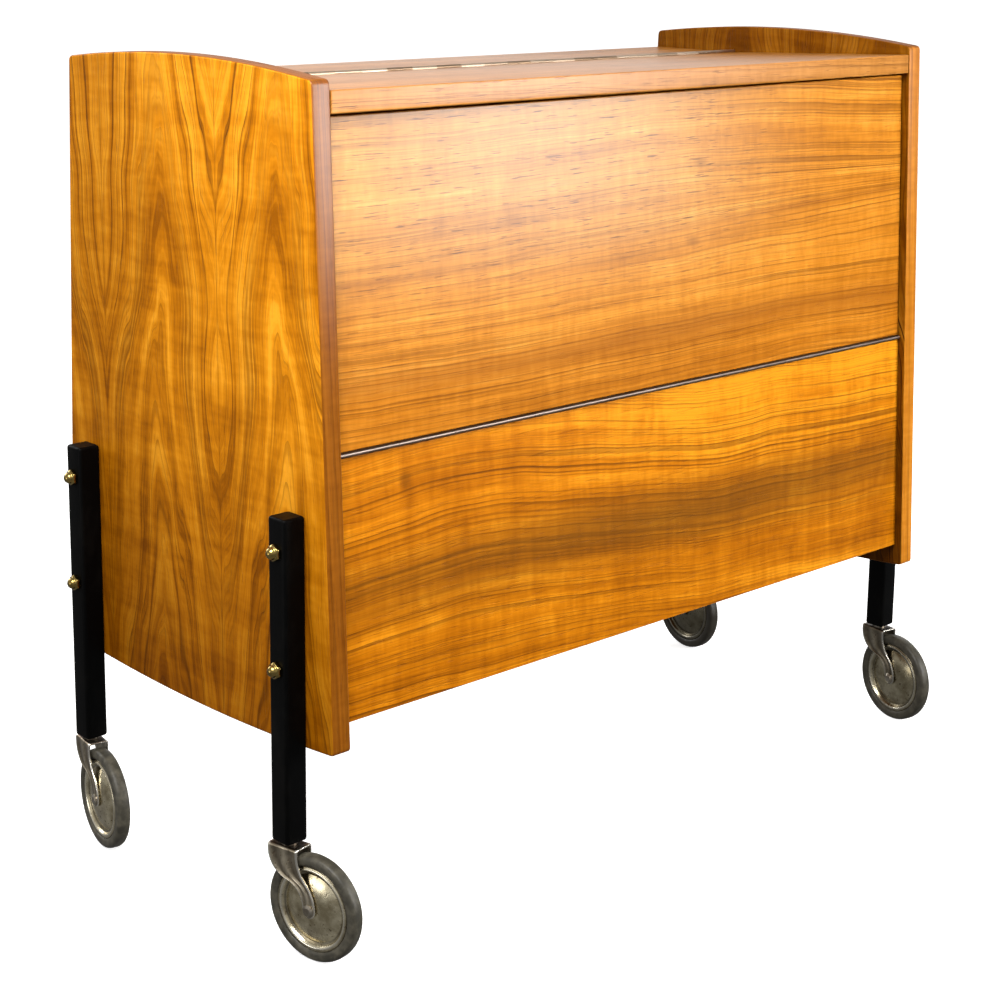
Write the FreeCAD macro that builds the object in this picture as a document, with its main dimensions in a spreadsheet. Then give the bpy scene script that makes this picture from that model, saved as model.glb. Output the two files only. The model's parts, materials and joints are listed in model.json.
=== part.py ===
import FreeCAD, Part
import math
import os
import re
import Sketcher
from FreeCAD import Placement, Rotation, Vector

# Bar trolley: two tapered side panels on four bolted legs with swivel casters, a hinged lid and
# a drop-front flap. The front is -Y, up is +Z and the floor is Z = 0. Millimetres and degrees.
SIZES = {
    # side panels, measured at their corners, with arched upper and lower edges
    "carcass_width": 720,
    "panel_thickness": 17,
    "panel_height": 497,
    "panel_depth_top": 315,
    "panel_depth_bottom": 357,
    "top_arch_rise": 10,
    "bottom_arch_drop": 8,
    # boards between the side panels
    "door_thickness": 16,
    "front_recess": 7.2,
    "lower_front_rise": 19.5,
    "flap_hinge_rise": 224,
    "flap_gap": 2,
    "side_gap": 1,
    "lid_thickness": 17,
    "lid_drop": 7.4,
    "lid_depth": 211,
    "top_thickness": 17,
    "top_recess": 1,
    "back_thickness": 8,
    "back_recess": 3,
    "bottom_thickness": 15,
    "shelf_thickness": 12,
    "shelf_depth": 170,
    "batten_width": 12,
    "batten_height": 18,
    "batten_inset": 8,
    "rest_width": 12,
    "rest_height": 20,
    "rest_length": 110,
    "seat_gap": 0.2,
    # dowels in the board ends
    "dowel_radius": 4,
    "dowel_length": 32,
    "dowel_in_panel": 11,
    "dowel_end_gap": 0.5,
    "front_dowel_pitch": 70,
    "bottom_dowel_pitch": 110,
    "top_dowel_inset": 16,
    "fit_clearance": 0.05,
    # piano hinges, and the countersunk screws used on all fittings
    "barrel_radius": 2.1,
    "hinge_pin_radius": 1.1,
    "hinge_proud_height": 0.6,
    "hinge_end_gap": 1,
    "leaf_thickness": 0.9,
    "leaf_width": 14,
    "knuckle_count": 24,
    "knuckle_gap": 0.3,
    "hinge_screw_count": 8,
    "screw_radius": 1.3,
    "screw_head_radius": 2.4,
    "screw_length": 12,
    # quadrant stays of the flap and their guides
    "stay_radius": 120,
    "stay_width": 10,
    "stay_thickness": 2.5,
    "stay_inset": 6,
    "stay_foot_width": 14,
    "stay_foot_length": 30,
    "stay_screw_pitch": 18,
    "stop_radius": 3,
    "stop_height": 3,
    "stop_gap": 0.6,
    "guide_angle": 18,
    "guide_length": 14,
    "guide_height": 20,
    "guide_wall_thickness": 3,
    "guide_clearance": 0.4,
    "guide_flange_width": 9,
    "guide_flange_thickness": 2.5,
    # legs and their bolts
    "leg_size": 20,
    "leg_length": 255,
    "leg_overlap_height": 179,
    "leg_clearance": 4.3,
    "leg_chamfer_width": 3.5,
    "leg_edge_radius": 1.5,
    "bolt_radius": 3,
    "bolt_head_radius": 7,
    "bolt_head_height": 3,
    "bolt_crown_radius": 3.5,
    "bolt_head_edge": 1,
    "bolt_drop": 26,
    "bolt_pitch": 91,
    "bolt_thread_length": 5,
    "nut_corner_radius": 6.8,
    "nut_height": 3.6,
    "nut_dome_radius": 4.8,
    # casters
    "wheel_radius": 42.5,
    "tyre_width": 12,
    "tyre_crown_height": 4,
    "tyre_lip_width": 11.1,
    "tyre_wall_height": 2.2,
    "tyre_bead_width": 8.4,
    "tyre_bead_depth": 11.5,
    "tyre_bead_height": 3.1,
    "disc_thickness": 1,
    "disc_rim_gap": 0.5,
    "disc_seat_width": 1,
    "disc_ring_width": 3.4,
    "disc_ring_height": 0.7,
    "disc_groove_width": 1.5,
    "disc_groove_depth": 0.8,
    "hub_flat_radius": 9,
    "hub_gap": 0.5,
    "bush_wall_thickness": 2,
    "bush_gap": 0.3,
    "axle_radius": 3,
    "rivet_head_radius": 5,
    "rivet_head_height": 2,
    "rivet_crown_radius": 3,
    "rivet_head_edge": 0.7,
    "fork_inner_width": 14.4,
    "fork_thickness": 1.8,
    "fork_length": 29,
    "fork_neck_height": 5,
    "fork_eye_radius": 6,
    "fork_trail_length": 25.5,
    "tyre_headroom_height": 1.5,
    "stem_radius": 4,
    "stem_length": 30,
    "stem_head_radius": 6,
    "stem_head_height": 1.2,
    "stem_tip_height": 1,
    "collar_radius": 6.5,
    "collar_height": 1,
    "swivel_gap": 0.2,
    "socket_wall_thickness": 1.2,
    "socket_flange_radius": 6.4,
    "socket_flange_thickness": 1,
    # turn of each caster from pointing straight forward, as the trolley was left standing
    "swivel_front_left": 12,
    "swivel_front_right": -9,
    "swivel_rear_left": -10,
    "swivel_rear_right": -6,
}

# Sizes that follow from the ones above, as formulas in their names.
WORKED = {
    "inside_half": "carcass_width / 2 - panel_thickness",
    "outside_half": "carcass_width / 2",
    "taper": "(panel_depth_bottom - panel_depth_top) / 2",
    "slant": "sqrt(panel_height * panel_height + taper * taper)",
    "lean": "atan(taper / panel_height) / 1 deg",
    # heights stacked up from the floor
    "fork_underside": "2 * wheel_radius + tyre_headroom_height",
    "fork_top": "fork_underside + fork_thickness",
    "leg_bottom": "fork_top + collar_height + swivel_gap + socket_flange_thickness",
    "leg_top": "leg_bottom + leg_length",
    "panel_bottom": "leg_top - leg_overlap_height",
    # the casters trail forward, so the carcass stands back from the middle of the floor space
    "middle_y": "fork_trail_length / 2",
    "front_y": "middle_y - panel_depth_bottom / 2",
    "back_y": "middle_y + panel_depth_bottom / 2",
    # the sloping front: distances inward from the panels' front edges and upward along them
    "door_back": "front_recess + door_thickness",
    "lid_top": "slant - lid_drop",
    "lid_under": "lid_top - lid_thickness",
    "flap_bottom": "flap_hinge_rise + barrel_radius",
    "flap_top": "lid_under - flap_gap",
    "lower_front_top": "flap_hinge_rise - barrel_radius",
    "moving_width": "2 * (inside_half - side_gap)",
    # hinge axes
    "lid_axis_y": "front_y + lid_depth * cos(lean) + (lid_top + hinge_proud_height) * sin(lean)",
    "lid_axis_z": "panel_bottom - lid_depth * sin(lean) + (lid_top + hinge_proud_height) * cos(lean)",
    "flap_axis_y": "front_y + (front_recess - hinge_proud_height) * cos(lean) + flap_hinge_rise * sin(lean)",
    "flap_axis_z": "panel_bottom - (front_recess - hinge_proud_height) * sin(lean) + flap_hinge_rise * cos(lean)",
    "hinge_length": "moving_width - 2 * hinge_end_gap",
    "knuckle_pitch": "hinge_length / knuckle_count",
    "hinge_screw_height": "-(leaf_width + barrel_radius + knuckle_gap) / 2",
    # levels of the fixed boards
    "rear_level": "lid_axis_z - hinge_proud_height",
    "rear_under": "rear_level - top_thickness",
    "rear_front": "lid_axis_y + barrel_radius",
    "bottom_under": "panel_bottom + lower_front_rise",
    "bottom_level": "bottom_under + bottom_thickness",
    "shelf_level": "flap_axis_z + hinge_proud_height + door_thickness",
    "shelf_under": "shelf_level - shelf_thickness",
    "back_front": "back_recess + back_thickness",
    "back_top": "(rear_under - panel_bottom + back_recess * sin(lean)) / cos(lean)",
    # the flap swings down to level; stays are given by their distances inward from its axis and
    # by their angles from the closed flap
    "flap_swing": "90 + lean",
    "stay_face": "door_thickness + hinge_proud_height",
    "stay_outer": "stay_radius + stay_width / 2",
    "stay_inner": "stay_radius - stay_width / 2",
    "stay_side": "inside_half - stay_inset - stay_thickness",
    "guide_half": "guide_length / stay_radius * 90 / pi",
    "stop_half": "stop_radius / stay_radius * 180 / pi",
    "stop_angle": "guide_angle + guide_half + flap_swing + stop_half + stop_gap / stay_radius * 180 / pi",
    "stay_end": "stop_angle + 2 * stop_half",
    "guide_depth": "stay_inset + stay_thickness + guide_wall_thickness",
    # legs and casters
    "leg_x": "outside_half + leg_size / 2",
    # the bolt heads stand clear of the inner face of the sloping front
    "front_at_bolts": "(door_back * slant + (leg_overlap_height - bolt_drop) * taper) / panel_height",
    "leg_y": "panel_depth_bottom / 2 - front_at_bolts - bolt_head_radius - leg_clearance",
    "bolt_length": "panel_thickness + leg_size + bolt_thread_length",
    "fork_half": "fork_inner_width / 2 + fork_thickness",
    "fork_shoulder": "fork_top - fork_neck_height",
    "fork_fall": "fork_shoulder - wheel_radius",
    "fork_rear_reach": "fork_trail_length - fork_eye_radius + fork_length / 2",
    "fork_front_reach": "fork_trail_length + fork_eye_radius - fork_length / 2",
    "bush_bore": "axle_radius + fit_clearance",
    "bush_radius": "bush_bore + bush_wall_thickness",
    "bush_half": "fork_inner_width / 2 - bush_gap",
    "bead_half": "tyre_bead_width / 2",
    "bead_inner": "wheel_radius - tyre_bead_depth",
    "bead_outer": "bead_inner + tyre_bead_height",
    "tyre_half": "tyre_width / 2",
    "tyre_shoulder": "wheel_radius - tyre_crown_height",
    "disc_bore": "bush_radius + fit_clearance",
    "disc_rim": "bead_outer - disc_rim_gap",
    "ring_outer": "disc_rim - disc_seat_width",
    "ring_inner": "ring_outer - disc_ring_width",
    "ring_face": "bead_half + disc_thickness + disc_ring_height",
    "groove_face": "bead_half + disc_thickness - disc_groove_depth",
    "dome_foot": "ring_inner - disc_groove_width",
    "dome_reach": "dome_foot - hub_flat_radius",
    "hub_face": "fork_inner_width / 2 - hub_gap",
    "dome_rise": "hub_face - groove_face",
    "dome_radius": "(dome_reach * dome_reach + dome_rise * dome_rise) / (2 * dome_rise)",
    "socket_bore": "stem_radius + fit_clearance",
    "socket_radius": "socket_bore + socket_wall_thickness",
    "stem_top": "fork_top + collar_height + stem_length",
}

AXIS_X = Vector(1, 0, 0)
AXIS_Y = Vector(0, 1, 0)
AXIS_Z = Vector(0, 0, 1)
SIDES = (("left", -1), ("right", 1))
CORNERS = (("front_left", -1, -1), ("front_right", 1, -1), ("rear_left", -1, 1), ("rear_right", 1, 1))

# Leaning frames: origin y, origin z, and how far the upward direction leans backward.
LEVEL = ("0", "0", "0")
FRONT = ("front_y", "panel_bottom", "lean")
BACK = ("back_y", "panel_bottom", "-lean")
FLAP_AXIS = ("flap_axis_y", "flap_axis_z", "lean")
GUIDE = ("flap_axis_y", "flap_axis_z", "(lean + guide_angle)")
LID_HINGE_FIXED = ("lid_axis_y", "lid_axis_z", "0")
LID_HINGE_MOVING = ("lid_axis_y", "lid_axis_z", "lean")
FLAP_HINGE = ("flap_axis_y", "flap_axis_z", "(lean - 90)")

doc = FreeCAD.newDocument("bar_trolley")
dims = doc.addObject("Spreadsheet::Sheet", "dims")
for row, (size_name, size) in enumerate(SIZES.items(), start=1):
    dims.set(f"A{row}", size_name)
    dims.set(f"B{row}", str(size))
    dims.setAlias(f"B{row}", size_name)
doc.recompute()

nodes = []


# Formulas and placing

def expand(formula):
    """A formula in size names, written out in cells of the sheet."""
    def spell(match):
        word = match.group()
        if word in SIZES:
            return "dims." + word
        if word in WORKED:
            return "(" + expand(WORKED[word]) + ")"
        return word
    return re.sub(r"[a-z_]+", spell, formula)


def value(formula):
    return float(dims.evalExpression(expand(formula)))


def bind(feature, formulas):
    for prop, formula in formulas.items():
        feature.setExpression(prop, expand(formula))


def place(feature, x="0", y="0", z="0", axis=None, angle=None):
    """Bind a feature's position, and its turn about one axis."""
    if axis is not None:
        feature.Placement = Placement(Vector(), Rotation(axis, 1))
        bind(feature, {"Placement.Rotation.Angle": angle})
    bind(feature, {"Placement.Base.x": x, "Placement.Base.y": y, "Placement.Base.z": z})
    return feature


def keep(feature):
    """Count a feature as one of the pieces."""
    nodes.append(feature)
    return feature


def at(frame, inward, upward):
    """World y and z of a point given inward and upward in a leaning frame."""
    y, z, lean = frame
    return (f"{y} + ({inward}) * cos({lean}) + ({upward}) * sin({lean})",
            f"{z} - ({inward}) * sin({lean}) + ({upward}) * cos({lean})")


def spot(frame, x, inward, upward, turn):
    """Placement of a fastener in a leaning frame."""
    y, z, lean = frame
    seat = Placement(Vector(0, value(y), value(z)), Rotation(AXIS_X, -value(lean)))
    return seat * Placement(Vector(value(x), value(inward), value(upward)), turn)


def front_face(depth, height):
    """World y of a plane set back from the panels' front edges, at a height."""
    return f"(front_y + (({depth}) * slant + (({height}) - panel_bottom) * taper) / panel_height)"


def back_face(depth, height):
    """World y of a plane set in from the panels' back edges, at a height."""
    return f"(2 * middle_y - {front_face(depth, height)})"


def leg_row(end):
    """World y of the front legs for end -1, and of the rear legs for end 1."""
    return f"(middle_y + {end} * leg_y)"


# Shapes that several pieces share

def board(name, frame, x, inward, upward):
    """A straight block in a leaning frame; each direction is its start and its size."""
    block = doc.addObject("Part::Box", name)
    bind(block, {"Length": x[1], "Width": inward[1], "Height": upward[1]})
    y, z = at(frame, inward[0], upward[0])
    return place(block, x[0], y, z, AXIS_X, f"-({frame[2]})")


def rod(name, radius, x, length, y, z):
    """A round bar along X."""
    bar = doc.addObject("Part::Cylinder", name)
    bind(bar, {"Radius": radius, "Height": length})
    return place(bar, x, y, z, AXIS_Y, "90")


def post(name, radius, z, height):
    """A round bar along Z."""
    bar = doc.addObject("Part::Cylinder", name)
    bind(bar, {"Radius": radius, "Height": height})
    return place(bar, z=z)


def fuse(name, parts):
    joined = doc.addObject("Part::MultiFuse", name)
    joined.Shapes = parts
    return joined


def group(name, parts):
    together = doc.addObject("Part::Compound", name)
    together.Links = parts
    return together


def cut(name, base, tools):
    rest = doc.addObject("Part::Cut", name)
    rest.Base = base
    rest.Tool = group(name + "_bores", tools)
    return rest


def copies(name, master, placements):
    """Separate copies of one piece, held together as one group."""
    doc.recompute()
    together = doc.addObject("Part::Feature", name)
    together.Shape = Part.Compound([master.Shape.transformed(seat.toMatrix()) for seat in placements])
    return together


def arc_between(start, end, radius):
    """Arc from start to end, turning left for a positive radius and right for a negative one."""
    chord = end - start
    rise = math.sqrt(max(radius * radius - chord.Length ** 2 / 4, 0))
    left = Vector(-chord.y, chord.x, 0).normalize()
    centre = (start + end) * 0.5 + left * math.copysign(rise, radius)
    first, last = (start, end) if radius > 0 else (end, start)
    angles = [math.atan2(point.y - centre.y, point.x - centre.x) for point in (first, last)]
    return Part.ArcOfCircle(Part.Circle(centre, AXIS_Z, abs(radius)), *angles)


def fix_corner(sketch, side, end, kind, axis, formula):
    """Hold one coordinate of a corner at its formula, measured from the sketch's origin."""
    if formula == "0":
        sketch.addConstraint(Sketcher.Constraint("PointOnObject", side, end, axis))
        return
    size = value(formula)
    if size > 0:
        index = sketch.addConstraint(Sketcher.Constraint(kind, -1, 1, side, end, size))
    else:
        index = sketch.addConstraint(Sketcher.Constraint(kind, side, end, -1, 1, -size))
    sketch.renameConstraint(index, f"{kind}{side}")
    bind(sketch, {f"Constraints.{kind}{side}": formula if size > 0 else f"-({formula})"})


def outline(body, plane, corners, arcs):
    """A closed sketch through corners given as formulas; arcs maps a side's number to its radius."""
    sketch = body.newObject("Sketcher::SketchObject", body.Name + "_outline")
    support = next(item for item in body.Origin.OriginFeatures if item.Role == plane)
    sketch.AttachmentSupport = [(support, "")]
    sketch.MapMode = "FlatFace"
    points = [Vector(value(across), value(up), 0) for across, up in corners]
    ends = []
    for side, start in enumerate(points):
        end = points[(side + 1) % len(points)]
        radius = value(arcs[side]) if side in arcs else 0
        edge = arc_between(start, end, radius) if side in arcs else Part.LineSegment(start, end)
        sketch.addGeometry(edge, False)
        ends.append((2, 1) if radius < 0 else (1, 2))
    for side, (first, last) in enumerate(ends):
        following = (side + 1) % len(points)
        sketch.addConstraint(Sketcher.Constraint("Coincident", side, last, following, ends[following][0]))
    for side, (across, up) in enumerate(corners):
        fix_corner(sketch, side, ends[side][0], "DistanceX", -2, across)
        fix_corner(sketch, side, ends[side][0], "DistanceY", -1, up)
    for side, formula in arcs.items():
        radius = value(formula)
        index = sketch.addConstraint(Sketcher.Constraint("Radius", side, abs(radius)))
        sketch.renameConstraint(index, f"Radius{side}")
        bind(sketch, {f"Constraints.Radius{side}": formula if radius > 0 else f"-({formula})"})
    return sketch


def prism(name, plane, corners, length, arcs={}, both_ways=False):
    """A body with the same outline all along its length."""
    body = doc.addObject("PartDesign::Body", name)
    sketch = outline(body, plane, corners, arcs)
    pad = body.newObject("PartDesign::Pad", name + "_pad")
    pad.Profile = sketch
    pad.Midplane = both_ways
    bind(pad, {"Length": length})
    return body


def turning(name, plane, corners, arcs={}):
    """A body of revolution; corners are radius and distance along the axis."""
    body = doc.addObject("PartDesign::Body", name)
    sketch = outline(body, plane, corners, arcs)
    turned = body.newObject("PartDesign::Revolution", name + "_turned")
    turned.Profile = sketch
    turned.ReferenceAxis = (sketch, ["V_Axis"])
    turned.Angle = 360
    return body


def smooth_edges(body, kind, name, prop, formula, chosen):
    """Round or bevel the edges of a body's newest feature that a test picks out."""
    doc.recompute()
    base = body.Tip
    picked = [f"Edge{number}" for number, edge in enumerate(base.Shape.Edges, start=1) if chosen(edge)]
    feature = body.newObject(kind, name)
    feature.Base = (base, picked)
    bind(feature, {prop: formula})
    return feature


# Screws: one countersunk pattern for all fittings, pointing along +Z from its flush head
def screw_pattern(name, radius, head_radius, length):
    head = doc.addObject("Part::Cone", name + "_head")
    bind(head, {"Radius1": head_radius, "Radius2": radius, "Height": "leaf_thickness"})
    return fuse(name, [head, post(name + "_shank", radius, "0", length)])


screw = screw_pattern("screw", "screw_radius", "screw_head_radius", "screw_length")
screw_bore = screw_pattern("screw_bore", "screw_radius + fit_clearance", "screw_head_radius + fit_clearance",
                           "screw_length + dowel_end_gap")


# Piano hinges: two leaves with alternating knuckles on one pin, screwed to the board edges
def hinge_leaf(name, frame, side, first_gap, bores):
    """A leaf on one side of the hinge axis, notched for the other leaf's knuckles."""
    near = "barrel_radius - leaf_thickness" if side > 0 else "-barrel_radius"
    plate = board(name + "_plate", frame, ("-hinge_length / 2", "hinge_length"), (near, "leaf_thickness"),
                  ("-leaf_width", "leaf_width"))
    barrel = rod(name + "_barrel", "barrel_radius", "-hinge_length / 2", "hinge_length", frame[0], frame[1])
    tools = [bores]
    tools.append(rod(name + "_bore", "hinge_pin_radius + fit_clearance", "-hinge_length",
                     "2 * hinge_length", frame[0], frame[1]))
    for index in range(first_gap, int(value("knuckle_count")), 2):
        start = f"{index} * knuckle_pitch - hinge_length / 2 - knuckle_gap / 2"
        tools.append(board(f"{name}_notch_{index}", frame, (start, "knuckle_pitch + knuckle_gap"),
                           ("-2 * barrel_radius", "4 * barrel_radius"),
                           ("-barrel_radius - knuckle_gap", "3 * barrel_radius")))
    leaf = fuse(name + "_solid", [plate, barrel])
    return cut(name, leaf, tools)


def hinge_screw_spots(frame, side):
    """Screw places along one leaf, pointing away from the hinge axis's plane."""
    count = int(value("hinge_screw_count"))
    depth = "barrel_radius - leaf_thickness" if side > 0 else "leaf_thickness - barrel_radius"
    turn = Rotation(AXIS_X, -90 * side)
    return [spot(frame, f"({index} + 0.5) * hinge_length / {count} - hinge_length / 2", depth,
                 "hinge_screw_height", turn) for index in range(count)]


def hinge_half(hinge, part, frame, side, first_gap):
    """A leaf, its screws, and the bores that the screws need in the board."""
    spots = hinge_screw_spots(frame, side)
    bores = copies(f"{hinge}_{part}_screw_bores", screw_bore, spots)
    keep(hinge_leaf(f"{hinge}_{part}_leaf", frame, side, first_gap, bores))
    keep(copies(f"{hinge}_{part}_screws", screw, spots))
    return bores


def hinge_pin(hinge, frame):
    y, z, lean = frame
    return keep(rod(f"{hinge}_pin", "hinge_pin_radius", "-hinge_length / 2", "hinge_length", y, z))


lid_fixed_bores = hinge_half("lid_hinge", "fixed", LID_HINGE_FIXED, 1, 1)
lid_moving_bores = hinge_half("lid_hinge", "moving", LID_HINGE_MOVING, -1, 0)
hinge_pin("lid_hinge", LID_HINGE_FIXED)
flap_fixed_bores = hinge_half("flap_hinge", "fixed", FLAP_HINGE, -1, 1)
flap_moving_bores = hinge_half("flap_hinge", "moving", FLAP_HINGE, 1, 0)
hinge_pin("flap_hinge", FLAP_HINGE)


# Quadrant stays: curved arms screwed to the flap, running through guides on the side panels
def stay_screw_spots(sign):
    turn = Rotation(AXIS_X, 90)
    return [spot(FLAP_AXIS, f"{sign} * (stay_side - stay_foot_width / 2)", "stay_face + stay_thickness",
                 f"stay_radius + {step} * stay_screw_pitch / 2", turn) for step in (-1, 1)]


def guide_screw_spots(sign):
    turn = Rotation(AXIS_Y, 90 * sign)
    return [spot(GUIDE, f"{sign} * (inside_half - guide_flange_thickness)",
                 f"{step} * (guide_length + guide_flange_width) / 2", "stay_radius", turn) for step in (-1, 1)]


stay_bores = {sign: copies(f"flap_stay_bores_{side}", screw_bore, stay_screw_spots(sign))
              for side, sign in SIDES}
guide_bores = {sign: copies(f"stay_guide_bores_{side}", screw_bore, guide_screw_spots(sign))
               for side, sign in SIDES}


def flap_stay(side, sign):
    name = f"flap_stay_{side}"
    corners = (("stay_face", "sqrt(stay_inner * stay_inner - stay_face * stay_face)"),
               ("stay_inner * sin(stay_end)", "stay_inner * cos(stay_end)"),
               ("stay_outer * sin(stay_end)", "stay_outer * cos(stay_end)"),
               ("stay_face", "sqrt(stay_outer * stay_outer - stay_face * stay_face)"))
    arm = prism(name + "_arm", "YZ_Plane", corners, "stay_thickness", {0: "-stay_inner", 2: "stay_outer"})
    arm_start = "stay_side" if sign > 0 else "-stay_side - stay_thickness"
    place(arm, arm_start, "flap_axis_y", "flap_axis_z", AXIS_X, "-lean")
    foot_start = "stay_side - stay_foot_width" if sign > 0 else "-stay_side - stay_thickness"
    foot = board(name + "_foot", FLAP_AXIS, (foot_start, "stay_foot_width + stay_thickness"),
                 ("stay_face", "stay_thickness"), ("stay_radius - stay_foot_length / 2", "stay_foot_length"))
    stop_y, stop_z = at(FLAP_AXIS, "stay_radius * sin(stop_angle)", "stay_radius * cos(stop_angle)")
    stop = rod(name + "_stop", "stop_radius", f"{arm_start} - stop_height", "stay_thickness + 2 * stop_height",
               stop_y, stop_z)
    return cut(name, fuse(name + "_solid", [arm, foot, stop]), [stay_bores[sign]])


def stay_guide(side, sign):
    name = f"stay_guide_{side}"
    block_start = "inside_half - guide_depth" if sign > 0 else "-inside_half"
    flange_start = "inside_half - guide_flange_thickness" if sign > 0 else "-inside_half"
    radial = ("stay_radius - guide_height / 2", "guide_height")
    block = board(name + "_block", GUIDE, (block_start, "guide_depth"),
                  ("-guide_length / 2", "guide_length"), radial)
    flange = board(name + "_flange", GUIDE, (flange_start, "guide_flange_thickness"),
                   ("-guide_length / 2 - guide_flange_width", "guide_length + 2 * guide_flange_width"), radial)
    slot_start = "stay_side - guide_clearance" if sign > 0 else "-stay_side - stay_thickness - guide_clearance"
    slot_width = "stay_thickness + 2 * guide_clearance"
    around = rod(name + "_around", "stay_outer + guide_clearance", slot_start, slot_width,
                 "flap_axis_y", "flap_axis_z")
    within = rod(name + "_within", "stay_inner - guide_clearance", slot_start, slot_width,
                 "flap_axis_y", "flap_axis_z")
    slot = cut(name + "_slot", around, [within])
    return cut(name, fuse(name + "_solid", [block, flange]), [slot, guide_bores[sign]])


for side_name, side_sign in SIDES:
    keep(flap_stay(side_name, side_sign))
keep(copies("flap_stay_screws", screw, stay_screw_spots(-1) + stay_screw_spots(1)))
keep(group("stay_guides", [stay_guide(side_name, side_sign) for side_name, side_sign in SIDES]))
keep(copies("stay_guide_screws", screw, guide_screw_spots(-1) + guide_screw_spots(1)))


# Dowels: round pegs, partly in a board's end and partly in the side panel
def dowel_places():
    """World y and z of every dowel, by the board that it holds."""
    middle = "(lower_front_rise + lower_front_top) / 2"
    front = [at(FRONT, "front_recess + door_thickness / 2", f"{middle} + {step} * front_dowel_pitch")
             for step in (-1, 0, 1)]
    bottom = [(f"middle_y + {step} * bottom_dowel_pitch", "bottom_under + bottom_thickness / 2")
              for step in (-1, 0, 1)]
    top = [(y, "rear_under + top_thickness / 2")
           for y in ("rear_front + top_dowel_inset", "middle_y + panel_depth_top / 2 - top_dowel_inset")]
    return {"lower_front_panel": front, "bottom_panel": bottom, "rear_top": top}


def dowel_rods(name, board_name, sign, radius, end_gap):
    """Pegs, or the bores for them, at one end of a board."""
    start = "inside_half - dowel_length + dowel_in_panel" if sign > 0 else "-inside_half - dowel_in_panel"
    return [rod(f"{name}_{board_name}_{index}", radius, f"{start} - {end_gap}",
                f"dowel_length + 2 * {end_gap}", y, z)
            for index, (y, z) in enumerate(DOWELS[board_name])]


def dowel_bores(name, board_name, sign):
    return dowel_rods(name, board_name, sign, "dowel_radius + fit_clearance", "dowel_end_gap")


DOWELS = dowel_places()
pegs = []
for side_name, side_sign in SIDES:
    for peg_board in DOWELS:
        pegs += dowel_rods(f"dowel_{side_name}", peg_board, side_sign, "dowel_radius", "0")
keep(group("carcass_dowels", pegs))


# Leg bolts: domed heads inside the side panels, shanks through panel and leg, dome nuts outside
BOLT_HEIGHTS = ("leg_top - bolt_drop", "leg_top - bolt_drop - bolt_pitch")


def bolt_spots(distance):
    """Places of the eight bolts, pointing outward, at a distance from the middle."""
    return [Placement(Vector(side * value(distance), value(leg_row(end)), value(height)),
                      Rotation(AXIS_Y, 90 * side)) for name, side, end in CORNERS for height in BOLT_HEIGHTS]


def dome_nut():
    hexagon = doc.addObject("Part::Prism", "nut_hexagon")
    hexagon.Polygon = 6
    bind(hexagon, {"Circumradius": "nut_corner_radius", "Height": "nut_height"})
    dome = doc.addObject("Part::Sphere", "nut_dome")
    dome.Angle1 = 0
    bind(dome, {"Radius": "nut_dome_radius"})
    place(dome, z="nut_height")
    thread = post("nut_thread", "bolt_radius + fit_clearance", "0", "bolt_thread_length + fit_clearance")
    return cut("nut_pattern", fuse("nut_solid", [hexagon, dome]), [thread])


bolt = turning("bolt_pattern", "XZ_Plane", (
    ("0", "-bolt_head_height"), ("bolt_crown_radius", "-bolt_head_height"),
    ("bolt_head_radius", "-bolt_head_edge"), ("bolt_head_radius", "0"),
    ("bolt_radius", "0"), ("bolt_radius", "bolt_length"), ("0", "bolt_length")))
keep(copies("leg_bolts", bolt, bolt_spots("inside_half")))
keep(copies("dome_nuts", dome_nut(), bolt_spots("outside_half + leg_size")))


def bolt_bores(name, start, length, ends):
    return [rod(f"{name}_bolt_{end}_{index}", "bolt_radius + fit_clearance", start, length,
                leg_row(end), height)
            for end in ends for index, height in enumerate(BOLT_HEIGHTS)]


# Side panels: veneered boards with straight tapering edges and arched ends
def side_panel(side, sign):
    name = f"side_panel_{side}"
    start = "inside_half" if sign > 0 else "-outside_half"
    corners = (("-panel_depth_bottom / 2", "0"), ("panel_depth_bottom / 2", "0"),
               ("panel_depth_top / 2", "panel_height"), ("-panel_depth_top / 2", "panel_height"))
    arcs = {0: "panel_depth_bottom * panel_depth_bottom / 8 / bottom_arch_drop + bottom_arch_drop / 2",
            2: "panel_depth_top * panel_depth_top / 8 / top_arch_rise + top_arch_rise / 2"}
    plain = prism(name + "_board", "YZ_Plane", corners, "panel_thickness", arcs)
    place(plain, start, "middle_y", "panel_bottom")
    bores = bolt_bores(name, start, "panel_thickness", (-1, 1))
    for board_name in DOWELS:
        bores += dowel_bores(name, board_name, sign)
    return cut(name, plain, bores + [guide_bores[sign]])


for side_name, side_sign in SIDES:
    keep(side_panel(side_name, side_sign))


# Boards: the fixed ones are dowelled between the side panels, the lid and flap hang on the hinges
def end_bores(board_name):
    return [bore for side, sign in SIDES for bore in dowel_bores(f"{board_name}_{side}", board_name, sign)]


def level_board(name, front, back, under, level):
    """A board between the side panels whose front and back edges follow the given planes."""
    corners = ((front(under), under), (back(under), under), (back(level), level), (front(level), level))
    plain = prism(name, "YZ_Plane", corners, "2 * inside_half")
    return place(plain, "-inside_half")


INSIDE = ("-inside_half", "2 * inside_half")
MOVING = ("-moving_width / 2", "moving_width")

bottom_board = level_board("bottom_panel_board", lambda height: front_face("door_back + seat_gap", height),
                           lambda height: back_face("back_front + seat_gap", height),
                           "bottom_under", "bottom_level")
keep(cut("bottom_panel", bottom_board, end_bores("bottom_panel")))

top_board = level_board("rear_top_board", lambda height: "rear_front",
                        lambda height: back_face("top_recess", height), "rear_under", "rear_level")
keep(cut("rear_top", top_board, end_bores("rear_top") + [lid_fixed_bores]))

keep(board("back_panel", BACK, INSIDE, ("-back_front", "back_thickness"),
           ("lower_front_rise", "back_top - lower_front_rise")))

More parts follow.
